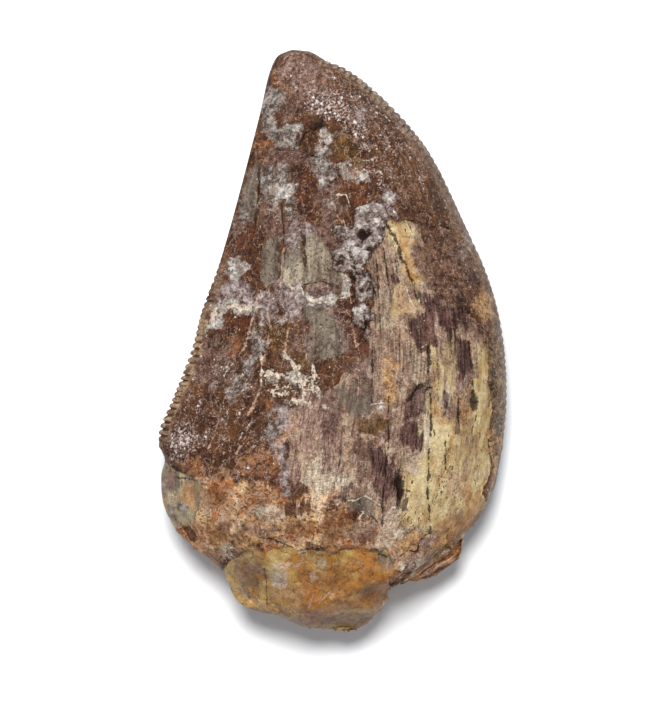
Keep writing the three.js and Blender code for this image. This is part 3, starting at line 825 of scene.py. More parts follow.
# The same on the underside, in mm
UNDER_MARKS = {
    "dentine": [UNDER_SCAR],
    "cream": [[(-3.5, 4.5), (-1, 6.2), (0.8, 4.0), (1.2, 0.5), (-0.4, -2.5), (0.2, -6.5), (-2.2, -7.5),
               (-3.0, -3.0), (-4.2, 0.5)]],
    "purple": [[(-6.2, 4), (-5, 5.5), (-4.2, 3), (-5.2, 0.5), (-5.6, -2.5), (-6.8, -1)],
               [(1.8, 0), (3.4, -1.2), (2.6, -5), (1.2, -6.5), (1, -3)]],
    "umber": [[(5, 12), (7, 9.5), (8.5, 5), (7.5, 2.5), (6.4, 6), (4.6, 9)],
              [(-2.5, -5.6), (0.5, -5), (1.6, -7.5), (-0.6, -9.4), (-3, -8)]],
    "agate": [[(-3.6, 16.6), (-1.8, 17.8), (-0.4, 16), (0.2, 12.4), (-1.2, 9.6), (-2.6, 10.6), (-3.2, 13)],
              [(6.4, 1), (8.2, 2.4), (9.2, -0.8), (8.6, -4.4), (7, -5.8), (6.6, -2)]],
    "bone": [[(-2.4, -8.6), (0.6, -8.2), (1.2, -10.4), (-0.6, -11.6), (-2.6, -10.8)]],
    "grey": [[(-5.6, 12.4), (-4.4, 13.6), (-3.9, 10), (-5.2, 7.6), (-7.2, 8.4), (-6.2, 10.2)],
             [(7.2, -7.2), (9.4, -6.6), (10, -9), (8.4, -11.4), (6.6, -10)]],
    "lilac": [[(-10, 0.4), (-8.4, 1.8), (-7.4, -1.2), (-8.4, -4.8), (-10.2, -6.4), (-11.2, -4)],
              [(1, 8.6), (2.8, 9.6), (4.4, 8), (4.8, 5), (3.4, 4.4), (1.4, 6)]],
    "mauve": [[(-7, -6), (-3, -8), (-6, -12), (-9, -11)], [(4, 14), (6, 13), (5, 8), (3, 10)]],
    "orange": [[(-2, 21), (1, 20), (0, 17), (-3, 18)], [(9, 9), (11, 6), (9, 3)], [(-11, -7), (-8, -7),
                                                                                   (-8, -11)]],
    "rust": [[(3, 17), (6, 15), (5, 11), (2, 12)], [(-5, -12), (2, -11), (1, -14), (-6, -14)]],
    "olive": [[(-8, 4), (-6, 7), (-6, 1), (-8, 0)]],
    "crust": [[(-8, 5), (-6.5, 6.5), (-4, 7.2), (-6.2, 4.8), (-7.6, -1), (-8.6, -4), (-9, -2)]],
    "matrix": [UNDER_BREAK],
    "amber": [[(-8, -17), (-2, -16), (-1, -20), (-7, -21)], [(4, -17), (9, -15), (8, -19), (4, -19)]],
    "pale": [[(-3, 0), (-1, 1), (-1.5, -3), (-3, -3)], [(-6, 11), (-5, 12), (-5, 9)]],
    # The same dark rim on the underside, partly painted shade.
    "dark_shaded_rim": [[(11, 8), (14, 4), (14, -12), (11.5, -10), (12, 0)]],
}


def mark_distance(kind, p):
    """Distance in mm from each point p to the outlines of one kind of mark, positive inside any."""
    level = np.full(len(p), -MARK_REACH)
    for marks, side in ((MARKS, upper), (UNDER_MARKS, ~upper)):
        for area in marks.get(kind, []):
            level[side] = np.maximum(level[side], inside_by(area, p[side]))
    return np.clip(level, -MARK_REACH, MARK_REACH)


# Lines on the stone
# Drying cracks are dark slits down the fibres. Thin pale veins of mineral run down the enamel on the left,
# and white crusty ridges and splintered edges stand out. Each line comes with half its width in mm.
CRACKS = [(half, plan(line)) for half, line in (
    (0.09, [(386, 224), (392, 234), (398, 245), (400, 258), (406, 268), (410, 278), (413, 288),
            (418, 300)]),
    (0.08, [(427, 344), (428, 362), (427, 386)]),
    (0.08, [(427, 386), (430, 398), (431, 420), (430, 432)]),
    (0.07, [(428, 450), (428, 470), (427, 492), (429, 506), (429, 530)]),
    (0.09, [(427, 386), (421, 384), (414, 390), (408, 400)]),
    (0.06, [(468, 344), (471, 366), (472, 392)]),
    (0.05, [(388, 398), (388, 440), (385, 470), (382, 500), (382, 530)]),
    (0.06, [(259, 168), (259, 196), (256, 218), (254, 232)]),
    (0.04, [(282, 206), (283, 230), (284, 256)]),
    (0.09, [(304, 240), (305, 252), (305, 263)]),
    (0.05, [(306, 285), (314, 283), (322, 282), (331, 285)]),
    (0.05, [(449, 320), (451, 352)]),
    (0.05, [(270, 537), (284, 542), (296, 546)]),
    (0.035, [(264, 568), (266, 580), (267, 598)]),
    (0.05, [(300, 144), (304, 134), (309, 130)]),
    (0.05, [(418, 222), (428, 228), (440, 226), (448, 228)]),
    (0.05, [(382, 244), (385, 262), (388, 286)]),
    (0.05, [(376, 262), (378, 290), (380, 330)]),
    (0.05, [(395, 262), (398, 282)]),
    (0.05, [(341, 448), (338, 470), (334, 484)]),
    (0.05, [(444, 442), (445, 470)]),
    (0.05, [(458, 400), (458, 424)]),
    (0.05, [(488, 440), (491, 462)]),
    (0.06, [(380, 552), (386, 554)]),
    (0.05, [(396, 556), (408, 548), (416, 550), (420, 538), (429, 530)]),
    (0.04, [(176, 476), (190, 478), (200, 480)]),
    (0.04, [(278, 150), (300, 152), (318, 158)]),
    (0.05, [(372, 345), (372, 372), (371, 400)]),
    (0.05, [(364, 318), (366, 326), (360, 340)]),
)]
VEINS = [(half, plan(line)) for half, line in (
    (0.08, [(258, 300), (254, 316), (250, 330), (247, 344), (242, 352)]),
    (0.08, [(269, 313), (270, 326), (268, 344), (264, 360), (262, 384), (256, 400), (250, 412)]),
    (0.06, [(292, 320), (288, 334), (286, 350), (281, 370)]),
    (0.06, [(226, 398), (222, 408), (218, 424)]),
    (0.07, [(250, 424), (244, 440), (238, 450)]),
    (0.05, [(350, 296), (352, 312), (353, 330), (356, 348)]),
    (0.05, [(284, 250), (282, 268), (281, 286)]),
    (0.05, [(342, 206), (344, 222), (346, 230)]),
    (0.05, [(334, 206), (338, 218), (342, 224)]),
    (0.06, [(210, 446), (214, 436), (216, 430)]),
    (0.04, [(306, 346), (307, 358)]),
    (0.03, [(304, 596), (306, 584), (300, 574)]),
    (0.03, [(310, 604), (314, 590), (308, 578)]),
    (0.035, [(320, 600), (330, 590), (334, 596)]),
    (0.06, [(358, 346), (358, 400)]),
    (0.06, [(392, 540), (386, 560), (388, 580)]),
    (0.06, [(281, 562), (292, 566), (300, 562)]),
    (0.05, [(240, 580), (246, 596), (252, 600)]),
)]
RIDGES = [(half, plan(line)) for half, line in (
    (0.16, [(208, 330), (213, 322), (217, 310), (222, 305), (229, 308), (236, 306), (243, 311),
            (252, 309)]),
    (0.11, [(298, 283), (302, 292), (308, 299), (318, 303), (330, 303), (340, 300), (347, 296)]),
    (0.1, [(347, 296), (350, 286), (346, 276)]),
    (0.09, [(286, 282), (292, 288), (300, 290)]),
    (0.24, [(292, 362), (298, 368), (300, 378)]),
    (0.24, [(274, 374), (283, 376), (292, 380), (300, 380)]),
    (0.21, [(268, 390), (276, 394), (286, 393), (294, 400), (303, 402)]),
    (0.24, [(300, 380), (310, 383), (317, 391), (323, 402)]),
    (0.21, [(288, 380), (285, 388), (286, 394)]),
    (0.21, [(303, 382), (305, 392), (302, 402)]),
    (0.13, [(310, 384), (316, 378), (314, 370)]),
    (0.12, [(262, 358), (263, 372), (262, 384)]),
    (0.08, [(240, 440), (246, 428), (250, 424)]),
    (0.06, [(322, 505), (337, 502), (346, 499), (356, 498), (364, 494), (372, 498), (378, 502)]),
    (0.05, [(359, 515), (362, 511), (368, 511), (371, 515), (369, 520), (363, 521), (360, 518)]),
    (0.07, [(404, 566), (400, 562), (399, 574), (393, 584), (387, 596), (381, 604)]),
    (0.08, [(430, 560), (440, 552), (452, 545), (462, 535)]),
    (0.06, [(400, 580), (414, 570), (430, 572), (444, 560)]),
    (0.06, [(402, 560), (414, 566), (424, 560)]),
    (0.07, [(406, 290), (410, 302), (416, 312), (404, 319)]),
    (0.06, [(418, 302), (420, 292), (424, 300)]),
    (0.05, [(420, 348), (426, 344)]),
    (0.05, [(432, 442), (436, 438)]),
    (0.06, [(372, 404), (384, 402)]),
    (0.06, [(318, 502), (330, 506), (344, 502)]),
    (0.07, [(232, 366), (226, 374)]),
    (0.06, [(300, 550), (308, 548)]),
    (0.06, [(384, 518), (392, 504), (398, 512), (390, 522)]),
    (0.05, [(338, 196), (346, 196), (350, 208)]),
)]
UNDER_CRACKS = [(0.07, np.array(line)) for line in (
    [(-5, 9), (-5.5, 3), (-6, -4), (-5, -9)],
    [(2, 12), (2.5, 5), (2, -2), (1, -8)],
    [(7, 6), (8, -1), (7, -8)],
)]
LINE_REACH = 6.0  # half widths, past which the distance to a line is held level
CRACK_DEPTH = 0.16
RIDGE_RISE = 0.14
PIT_DEPTH = 0.3


def nearest_line(lines, side):
    """For each point on one side of the tooth, the distance to the nearest of the lines in half widths, and
    the same with a sign for the side of the line, whose zero is sharp between the points of the mesh."""
    away = np.full(len(points), LINE_REACH)
    signed = np.full(len(points), LINE_REACH)
    for half, line in lines:
        for (ax, ay), (bx, by) in itertools.pairwise(line):
            x, y = points[:, 0] - ax, points[:, 1] - ay
            ex, ey = bx - ax, by - ay
            length = math.hypot(ex, ey)
            t = np.clip((x * ex + y * ey) / length**2, 0, 1)
            here = np.hypot(x - t * ex, y - t * ey) / half
            closer = side & (here < away)
            away[closer] = here[closer]
            signed[closer] = ((x * ey - y * ex) / length / half)[closer]
    return away, np.clip(signed, -LINE_REACH, LINE_REACH)


# Grain of the stone
# The crown grew in fibres from tip to root, and the stone has its own relief in each zone, from splinters to
# clods. Patterns that follow the fibres are laid out by the way across the tooth and the way down it.
ACROSS = 26.0  # mm
DOWN = 34.0
beside = np.where(upper, 0.0, OTHER_SIDE)
grain = np.stack([w * ACROSS, v * DOWN, beside], -1)
field = points + beside[:, None]
flat_field = np.concatenate([points[:, :2], beside[:, None]], -1)
bend = MARK_BEND * np.stack([rough(flat_field, 2.2, seed, 5) for seed in (31, 37)], -1)

distance = {}
for kind in MARKS:
    if kind in STRAYS:
        distance[kind] = ragged(kind, mark_distance(kind, points), flat_field)
    else:
        distance[kind] = mark_distance(kind, points[:, :2] + bend)
lines = {name: nearest_line(found, upper) for name, found in
         (("crack", CRACKS), ("vein", VEINS), ("ridge", RIDGES))}
under = nearest_line(UNDER_CRACKS, ~upper)
lines["crack"] = tuple(np.where(upper, a, b) for a, b in zip(lines["crack"], under))


def stepped(height, steps):
    """Heights gathered into flat steps with short rises between them, as splintered stone is."""
    level = height * steps
    return (np.floor(level) + smoothstep(0.7, 1.0, level - np.floor(level))) / steps


STRIP_ANGLE = math.radians(35)  # the filling's strips rise to the right, along the crown's edge
STRIP_TURN = np.array([[math.cos(STRIP_ANGLE), -math.sin(STRIP_ANGLE), 0],
                       [math.sin(STRIP_ANGLE), math.cos(STRIP_ANGLE), 0], [0, 0, 1]])


# Heights of the fine relief in mm
ENAMEL_DIMPLES = 0.06
ENAMEL_STEPS = 0.05
SPLINTERS = 0.07
FIBRES = 0.05
SPLITS = 0.08
CREAM_SWELLS = 0.07
CHIPS = 0.14
CLODS = 0.16
PEBBLES = 0.07
CRESTS = 0.16
SHELLS = 0.1
STRIPS = 0.22
OVERGROWTH = 0.1
SMALL_KNOBS = 0.1
VEIN_RISE = 0.03
OVERGROWN = (("pale", 0.9), ("grey", 0.5), ("lilac", 0.4))  # marks, and their share of the overgrowth


def fine_relief():
    """Height in mm that stands out along the skin's normal: worn dimples on enamel, splintered fibres on
    dentine, clods and grit on the matrix, chipped steps on the tongue, strips on the filling, and knobs on
    the crust."""
    inside = {kind: smoothstep(-0.1, 0.1, by) for kind, by in distance.items()}
    height = ENAMEL_DIMPLES * rough(field, 2.4, 50) + ENAMEL_STEPS * stepped(rough(field, 1.1, 55), 2)
    fibres = SPLINTERS * stepped(rough(grain, (1.2, 12.0, 5.0), 60, 3), 3)
    fibres = fibres + FIBRES * rough(grain, (0.5, 4.5, 3.0), 65, 2)
    fibres = fibres - SPLITS * (1 - smoothstep(0.0, 0.06, np.abs(noise(grain, (1.6, 16.0, 6.0), 68))))
    smooth = CREAM_SWELLS * rough(field, 2.6, 69) + 0.02 * rough(grain, (0.6, 6.0, 3.0), 66, 2)
    fibres = fibres + (smooth - fibres) * smoothstep(-0.4, 0.4, distance["cream"])
    chips = CHIPS * stepped(rough(field, (3.2, 2.4, 2.4), 70, 3), 2) + 0.02 * rough(field, 0.8, 73, 2)
    clods = CLODS * rough(field, 1.9, 75, 4) + PEBBLES * (0.6 - pebbles(field, 0.8, 80))
    clods = clods + CRESTS * (1 - smoothstep(0.0, 0.16, np.abs(rough(field, 1.7, 78, 2))))
    shells = SHELLS * stepped(rough(field, (1.2, 3.0, 2.0), 84, 2), 3)
    strips = STRIPS * rough(field @ STRIP_TURN, (2.4, 0.7, 1.0), 88, 3)
    for kind, over in (("dentine", fibres), ("tongue", chips), ("matrix", clods), ("stone", shells),
                       ("filling", strips)):
        height = height + (over - height) * inside[kind]
    overgrown = OVERGROWTH * rough(field, 0.9, 45, 3)
    for kind, amount in OVERGROWN:
        height = height + amount * (overgrown + 0.04) * inside[kind]
    knobs = CRUST_RISE * (0.9 - pebbles(field + 0.3 * rough(field, 1.1, 98, 2)[:, None], CRUST_KNOB, 92))
    knobs = knobs + SMALL_KNOBS * (0.6 - pebbles(field, 0.4, 96))
    height = height + knobs * inside["crust"]
    crack, vein, ridge = (1 - smoothstep(0.4, 2.4, lines[name][0]) for name in ("crack", "vein", "ridge"))
    broken = smoothstep(-0.6, 0.2, noise(field, 1.1, 99))
    height = height + (RIDGE_RISE * ridge + VEIN_RISE * vein) * (0.7 + 0.5 * noise(field, 0.6, 97))
    return height - CRACK_DEPTH * crack * broken - PIT_DEPTH * smoothstep(-0.15, 0.25, distance["pit"])


EDGE_CALM = 0.25  # mm of the cutting edges that the fine relief leaves alone
calm = np.where(v > 1, 1, smoothstep(0, EDGE_CALM, np.minimum(w, 1 - w) * ACROSS))
raised = fine_relief() * calm
points = points + normals * raised[:, None]
points[:, 2] = np.maximum(points[:, 2], 0)
tooth = make_piece("fossil_tooth", points, triangles)


def carry(name, values):
    """The mesh carries one number or one vector for each point under the given name."""
    kind, slot = ("FLOAT", "value") if values.ndim == 1 else ("FLOAT_VECTOR", "vector")
    attribute = tooth.data.attributes.new(name, kind, "POINT")
    attribute.data.foreach_set(slot, values.astype(np.float32).ravel())


def saw_marks():
    """How deep each point lies in a slit, and how near it is to denticles that aren't worn off, both from 0
    to 1."""
    width = np.linalg.norm(edge_at(*RIGHT_EDGE, v) - edge_at(*LEFT_EDGE, v), axis=-1)
    nearer = np.minimum(w, 1 - w) * width
    wear = np.where(w < 0.5, along(LEFT_WEAR, v), along(RIGHT_WEAR, v))
    near = np.where(v < 1, wear * (1 - smoothstep(0.5 * EDGE_BAND, 1.2 * EDGE_BAND, nearer)), 0)
    return saw_wave(v, w, nearer) * (1 - smoothstep(0.5 * EDGE_BAND, EDGE_BAND, nearer)), near


slit, saw = saw_marks()
carry("slit", slit)
carry("saw", saw)
carry("raised", raised)
for kind in MARKS:
    carry(kind, distance[kind])
for name, (away, side) in lines.items():
    carry(name + "_away", away)
    carry(name + "_side", side)

# Speckles: how thickly pale mineral grains are strewn over the enamel, by area
SPECKLED = {
    1.0: plan_areas([[(304, 92), (330, 84), (348, 92), (354, 112), (372, 124), (366, 136), (340, 124),
                      (320, 120), (304, 112)]]),
    0.95: plan_areas([[(166, 440), (176, 420), (196, 416), (200, 440), (190, 460), (172, 462)]]),
    0.55: plan_areas([[(322, 66), (352, 84), (392, 110), (410, 150), (396, 200), (380, 200), (360, 160),
                       (336, 128)],
                      [(336, 158), (372, 162), (378, 182), (344, 184)],
                      [(378, 196), (402, 198), (402, 224), (378, 226)]]),
    0.38: plan_areas([[(388, 110), (450, 180), (450, 240), (400, 210)],
                      [(196, 350), (250, 360), (262, 400), (250, 440), (196, 430), (178, 396)],
                      [(176, 400), (250, 400), (262, 440), (280, 490), (230, 480), (190, 462)],
                      [(262, 60), (330, 60), (330, 90), (290, 100)]]),
}
FEW_SPECKLES = 0.14
speckles = np.full(len(points), FEW_SPECKLES)
for amount, areas in SPECKLED.items():
    for area in areas:
        speckles = np.maximum(speckles, amount * smoothstep(-0.8, 0.8, inside_by(area, points)))
carry("speckle", np.where(upper, speckles, 0.2 + 0.35 * rough(points, 5.0, 40)))
carry("grain", grain)

# Stone's finishes
# The whole tooth is stone, in zones that differ in colour, gloss and grain. A zone's finish gives its
# colour, its roughness, the height of its finest relief in mm and how grainy its colour is.


COLOUR_A = 6  # inputs and output of a Mix node for colours
COLOUR_B = 7
COLOUR_OUT = 2
CLOUD_MOVE = 7.31  # cells that a pattern moves by for each seed
GRAIN_MOVE = 5.77


class Wire:
    """A shader socket in an expression. Operators add Math nodes, and node() adds any other node."""

    def __init__(self, tree, socket=None):
        self.tree = tree
        self.socket = socket

    def node(self, kind, settings=None, inputs=None, output=0):
        """Adds a node: its settings first, then a value or a Wire for each named or numbered input."""
        node = self.tree.nodes.new("ShaderNode" + kind)
        for name, value in (settings or {}).items():
            setattr(node, name, value)
        for name, value in (inputs or {}).items():
            if isinstance(value, Wire):
                self.tree.links.new(value.socket, node.inputs[name])
            else:
                node.inputs[name].default_value = value
        return Wire(self.tree, node.outputs[output])

    def maths(self, operation, *values):
        """Adds a Math node."""
        return self.node("Math", {"operation": operation}, dict(enumerate(values)))

    def __add__(self, other):
        return self.maths("ADD", self, other)

    def __sub__(self, other):
        return self.maths("SUBTRACT", self, other)

    def __rsub__(self, other):
        return self.maths("SUBTRACT", other, self)

    def __mul__(self, other):
        return self.maths("MULTIPLY", self, other)

    def __abs__(self):
        return self.maths("ABSOLUTE", self)

    __radd__ = __add__
    __rmul__ = __mul__

    def over(self, low, high):
        """A share that eases from 0 at low to 1 at high."""
        return self.node("MapRange", {"interpolation_type": "SMOOTHSTEP"},
                         {"Value": self, "From Min": low, "From Max": high})

    def blend(self, a, b):
        """Colour a where this share is 0 and b where it is 1."""
        return self.node("Mix", {"data_type": "RGBA"}, {0: self, COLOUR_A: a, COLOUR_B: b}, COLOUR_OUT)

    def stretched(self, x, y, z, turn=0):
        """This vector divided by a cell's three sizes in mm, and moved by some cells, unequally along x, y
        and z."""
        return self.node("VectorMath", {"operation": "MULTIPLY_ADD"},
                         {0: self, 1: (1 / x, 1 / y, 1 / z), 2: (turn, 2.3 * turn, 1.7 * turn)})

    def cloud(self, size, detail=4, seed=0, spread=0.55):
        """Soft noise from 0 to 1 around this vector, with lumps of the given size in mm, one number or
        three."""
        x, y, z = size if isinstance(size, tuple) else (size, size, size)
        cells = self.stretched(x, y, z, seed * CLOUD_MOVE)
        return self.node("TexNoise", None,
                         {"Vector": cells, "Scale": 1.0, "Detail": detail, "Roughness": spread})

    def flecks(self, size, share, seed=0):
        """1 in crisp flecks of uneven shape, 0 between them. The share is about how much of the surface they
        cover."""
        return (self.cloud(size, 3, seed, 0.6) + share * 0.36 - 0.67).over(0, 0.05)

    def grains(self, size, share, uneven, seed=0):
        """1 in scattered grains of differing size, one in some of the cells of the given size in mm, 0
        between them. Uneven is a noise around 0 that breaks up their outlines."""
        cells = self.stretched(size, size, size, seed * GRAIN_MOVE)
        away = self.node("TexVoronoi", None, {"Vector": cells, "Scale": 1.0})
        number = away.node("SeparateColor", None, {0: Wire(self.tree, away.socket.node.outputs["Color"])})
        return ((share - number) * 0.6 + uneven - away + 0.1).over(0, 0.1)

    def threads(self, size, width, seed=0):
        """1 along thin wandering lines, the level lines of a noise of the given size."""
        return (width - abs(self.cloud(size, 5, seed, 0.6) - 0.5)).over(0, width)


SCREEN_GAMMA = 2.2
LIGHT_ON_TOP = 1.6  # brightness of a white face turned up, in this light


def tone(red, green, blue):
    """Surface colour that shows on screen as the given colour, 0 to 255, when it faces up."""
    return (*((c / 255) ** SCREEN_GAMMA / LIGHT_ON_TOP for c in (red, green, blue)), 1)


stone = bpy.data.materials.new("fossil_stone")
stone.use_nodes = True
blank = Wire(stone.node_tree)
shader = stone.node_tree.nodes["Principled BSDF"]
metres = blank.node("TexCoord", None, None, "Object")
place = metres.node("VectorMath", {"operation": "SCALE"}, {0: metres, "Scale": 1 / MM})
grain_way = blank.node("Attribute", {"attribute_name": "grain"}, None, "Vector")


def carried(name):
    """The numbers that the mesh carries under the given name."""
    return blank.node("Attribute", {"attribute_name": name}, None, "Fac")


# The patterns that the zones and stains share
stray = place.cloud(1.1, 7, 1, 0.7) - 0.5
streaky = grain_way.cloud((0.4, 4.0, 3.0), 6, 2, 0.68) - 0.5 + stray * 0.4
cloudy = place.cloud(0.8, 6, 3, 0.64)
dapple = place.cloud(0.32, 4, 4, 0.66)
drawn = grain_way.cloud((0.16, 2.0, 2.0), 5, 5, 0.68) * 0.8 + dapple * 0.2
mottled = (cloudy + dapple) * 0.5
frosted = place.cloud(0.9, 3, 22, 0.5) * 0.7 + dapple * 0.6 - 0.18
webs = place.threads(0.5, 0.02, 23)
patchy = place.cloud(1.5, 6, 7, 0.68).over(0.36, 0.5)
washed = grain_way.cloud((0.6, 2.6, 2.0), 5, 6, 0.6)
veiled = grain_way.cloud((1.3, 8.0, 3.0), 3, 26, 0.45) * 0.55 + washed * 0.2 + drawn * 0.25
lifted = carried("raised")


def mark(kind, soft, reach, edge=stray):
    """1 inside the marks of one kind, with a soft ragged edge that strays by about a tenth of the reach, in
    mm."""
    return (carried(kind) + edge * reach).over(-soft, soft)


def brightened(colour, amount):
    """The colour times a number."""
    return colour.node("VectorMath", {"operation": "SCALE"}, {0: colour, "Scale": amount})


def enamel():
    """Glossy brown, mottled dark red, tan and mauve."""
    colour = mottled.over(0.42, 0.58).blend(tone(58, 30, 15), tone(112, 72, 44))
    colour = (place.cloud(2.8, 5, 12, 0.6).over(0.5, 0.58) * 0.55).blend(colour, tone(120, 76, 42))
    colour = (place.cloud(1.7, 6, 14, 0.66).over(0.5, 0.58) * 0.5).blend(colour, tone(112, 74, 54))
    colour = (dapple.over(0.54, 0.62) * 0.6).blend(colour, tone(60, 29, 15))
    return colour, cloudy * 0.1 + 0.39, cloudy * 0.06 + dapple * 0.05, 0.8


def bare_dentine():
    """Matt cream, pink and mauve, drawn out in straight fibres, with fine dark splits and pale scribbles."""
    colour = washed.over(0.4, 0.6).blend(tone(148, 112, 92), tone(190, 154, 128))
    pale = place.cloud((1.1, 2.2, 2.0), 5, 28, 0.6).over(0.5, 0.58)
    colour = (pale * 0.65).blend(colour, tone(214, 184, 150))
    dusky = place.cloud((0.9, 1.8, 2.0), 5, 29, 0.6).over(0.52, 0.6)
    colour = (dusky * 0.6).blend(colour, tone(134, 98, 88))
    colour = (drawn.over(0.52, 0.64) * 0.55).blend(colour, tone(220, 192, 168))
    colour = ((0.46 - drawn).over(0, 0.07) * 0.6).blend(colour, tone(76, 48, 40))
    colour = (mottled.over(0.5, 0.56) * 0.3).blend(colour, tone(126, 88, 72))
    threads = place.threads((0.5, 0.9, 1.0), 0.05, 27)
    colour = (threads * cloudy.over(0.46, 0.54) * 0.75).blend(colour, tone(232, 208, 192))
    return colour, 0.7, washed * 0.08 + drawn * 0.07 + threads * 0.04, 0.8


def smooth_cream():
    """Cream dentine, worn smooth, with dark pores and short slits in rows down the fibres."""
    colour = washed.over(0.4, 0.6).blend(tone(206, 172, 118), tone(234, 209, 158))
    colour = (cloudy.over(0.52, 0.62) * 0.5).blend(colour, tone(212, 184, 152))
    colour = ((0.44 - washed).over(0, 0.06) * 0.6).blend(colour, tone(178, 138, 90))
    rows = grain_way.cloud((0.5, 9.0, 3.0), 2, 24).over(0.46, 0.56)
    pores = grain_way.cloud((0.15, 0.45, 1.0), 2, 25).over(0.6, 0.66) * rows
    colour = (pores * 0.9).blend(colour, tone(84, 64, 56))
    return colour, 0.6, washed * 0.05 - pores * 0.1, 0.4


def rough_matrix():
    """Orange stone, lumpy and pitted, with painted shade in its low places, a net of pale crests whose
    paleness on the highest points is partly painted highlight, and white grains.
    """
    colour = place.cloud(1.5, 5, 31, 0.58).over(0.42, 0.58).blend(tone(197, 121, 73), tone(250, 200, 142))
    colour = (place.cloud(2.0, 5, 32, 0.6).over(0.5, 0.56) * 0.5).blend(colour, tone(150, 86, 54))
    colour = (cloudy.over(0.48, 0.56) * 0.5).blend(colour, tone(234, 192, 154))
    # Painted shade: darker where the fine relief lies low.
    colour = ((0.0 - lifted).over(0, 0.14) * 0.4).blend(colour, tone(128, 76, 48))
    # Paler on the highest points of the relief: the crests' pale mineral, partly painted highlight.
    crests_and_highlight = (lifted + (dapple - 0.5) * 0.3 - 0.11).over(0, 0.08)
    colour = (crests_and_highlight * 0.65).blend(colour, tone(240, 212, 182))
    grains = place.grains(0.3, 0.34, (dapple - 0.5) * 0.9, 33)
    colour = (grains * 0.7).blend(colour, tone(246, 222, 200))
    threads = place.threads(0.9, 0.03, 35)
    colour = (threads * 0.8).blend(colour, tone(242, 208, 176))
    holes = place.flecks(0.26, 0.3, 34)
    colour = (holes * 0.7).blend(colour, tone(104, 62, 44))
    return colour, 0.75, cloudy * 0.2 + grains * 0.08 + threads * 0.05 - holes * 0.08, 0.5


def ochre_tongue():
    """Smooth clouded stone, tan and golden with grey and brown clouds and a few pale scratches."""
    clouds = place.cloud((2.3, 1.9, 2.0), 4, 41, 0.5)
    colour = clouds.over(0.42, 0.58).blend(tone(179, 126, 64), tone(222, 181, 111))
    colour = (place.cloud(1.7, 4, 42, 0.52).over(0.5, 0.58) * 0.55).blend(colour, tone(208, 155, 75))
    colour = (place.cloud(1.9, 4, 43, 0.52).over(0.54, 0.61) * 0.5).blend(colour, tone(174, 150, 105))
    colour = (cloudy.over(0.52, 0.62) * 0.35).blend(colour, tone(152, 102, 58))
    threads = place.threads((0.9, 1.5, 1.6), 0.016, 44)
    colour = (threads * 0.8).blend(colour, tone(248, 226, 192))
    cracks = place.threads((2.6, 2.2, 2.0), 0.01, 45)
    colour = (cracks * 0.6).blend(colour, tone(100, 68, 44))
    return colour, 0.45, clouds * 0.06 + threads * 0.03 - cracks * 0.05, 0.3


def grey_stone():
    """Smooth grey-green stone in thin bands."""
    bands = place.cloud((0.8, 2.6, 1.0), 4, 51, 0.56)
    colour = bands.over(0.4, 0.6).blend(tone(140, 122, 104), tone(182, 162, 124))
    colour = (place.threads((0.7, 2.4, 1.0), 0.02, 52) * 0.6).blend(colour, tone(218, 206, 186))
    return colour, 0.4, bands * 0.14, 0.4


def red_filling():
    """Red-brown splintered stone, in strips along the crown's edge."""
    turned = place.node("VectorRotate", {"rotation_type": "Z_AXIS"},
                        {"Vector": place, "Angle": -STRIP_ANGLE})
    strips = turned.cloud((1.6, 0.28, 0.6), 5, 61, 0.66)
    colour = strips.over(0.42, 0.56).blend(tone(116, 66, 42), tone(216, 156, 112))
    colour = (strips.over(0.56, 0.64) * 0.8).blend(colour, tone(236, 206, 180))
    return colour, 0.7, strips * 0.4, 0.8


# Zones: finish, mark, softness and straying of its edge in mm
ZONES = [
    (bare_dentine, "dentine", 0.05, 0.5),
    (smooth_cream, "cream", 0.25, 3.0),
    (rough_matrix, "matrix", 0.3, 2.4),
    (ochre_tongue, "tongue", 0.06, 0.6),
    (grey_stone, "stone", 0.06, 0.4),
    (red_filling, "filling", 0.06, 0.4),
]
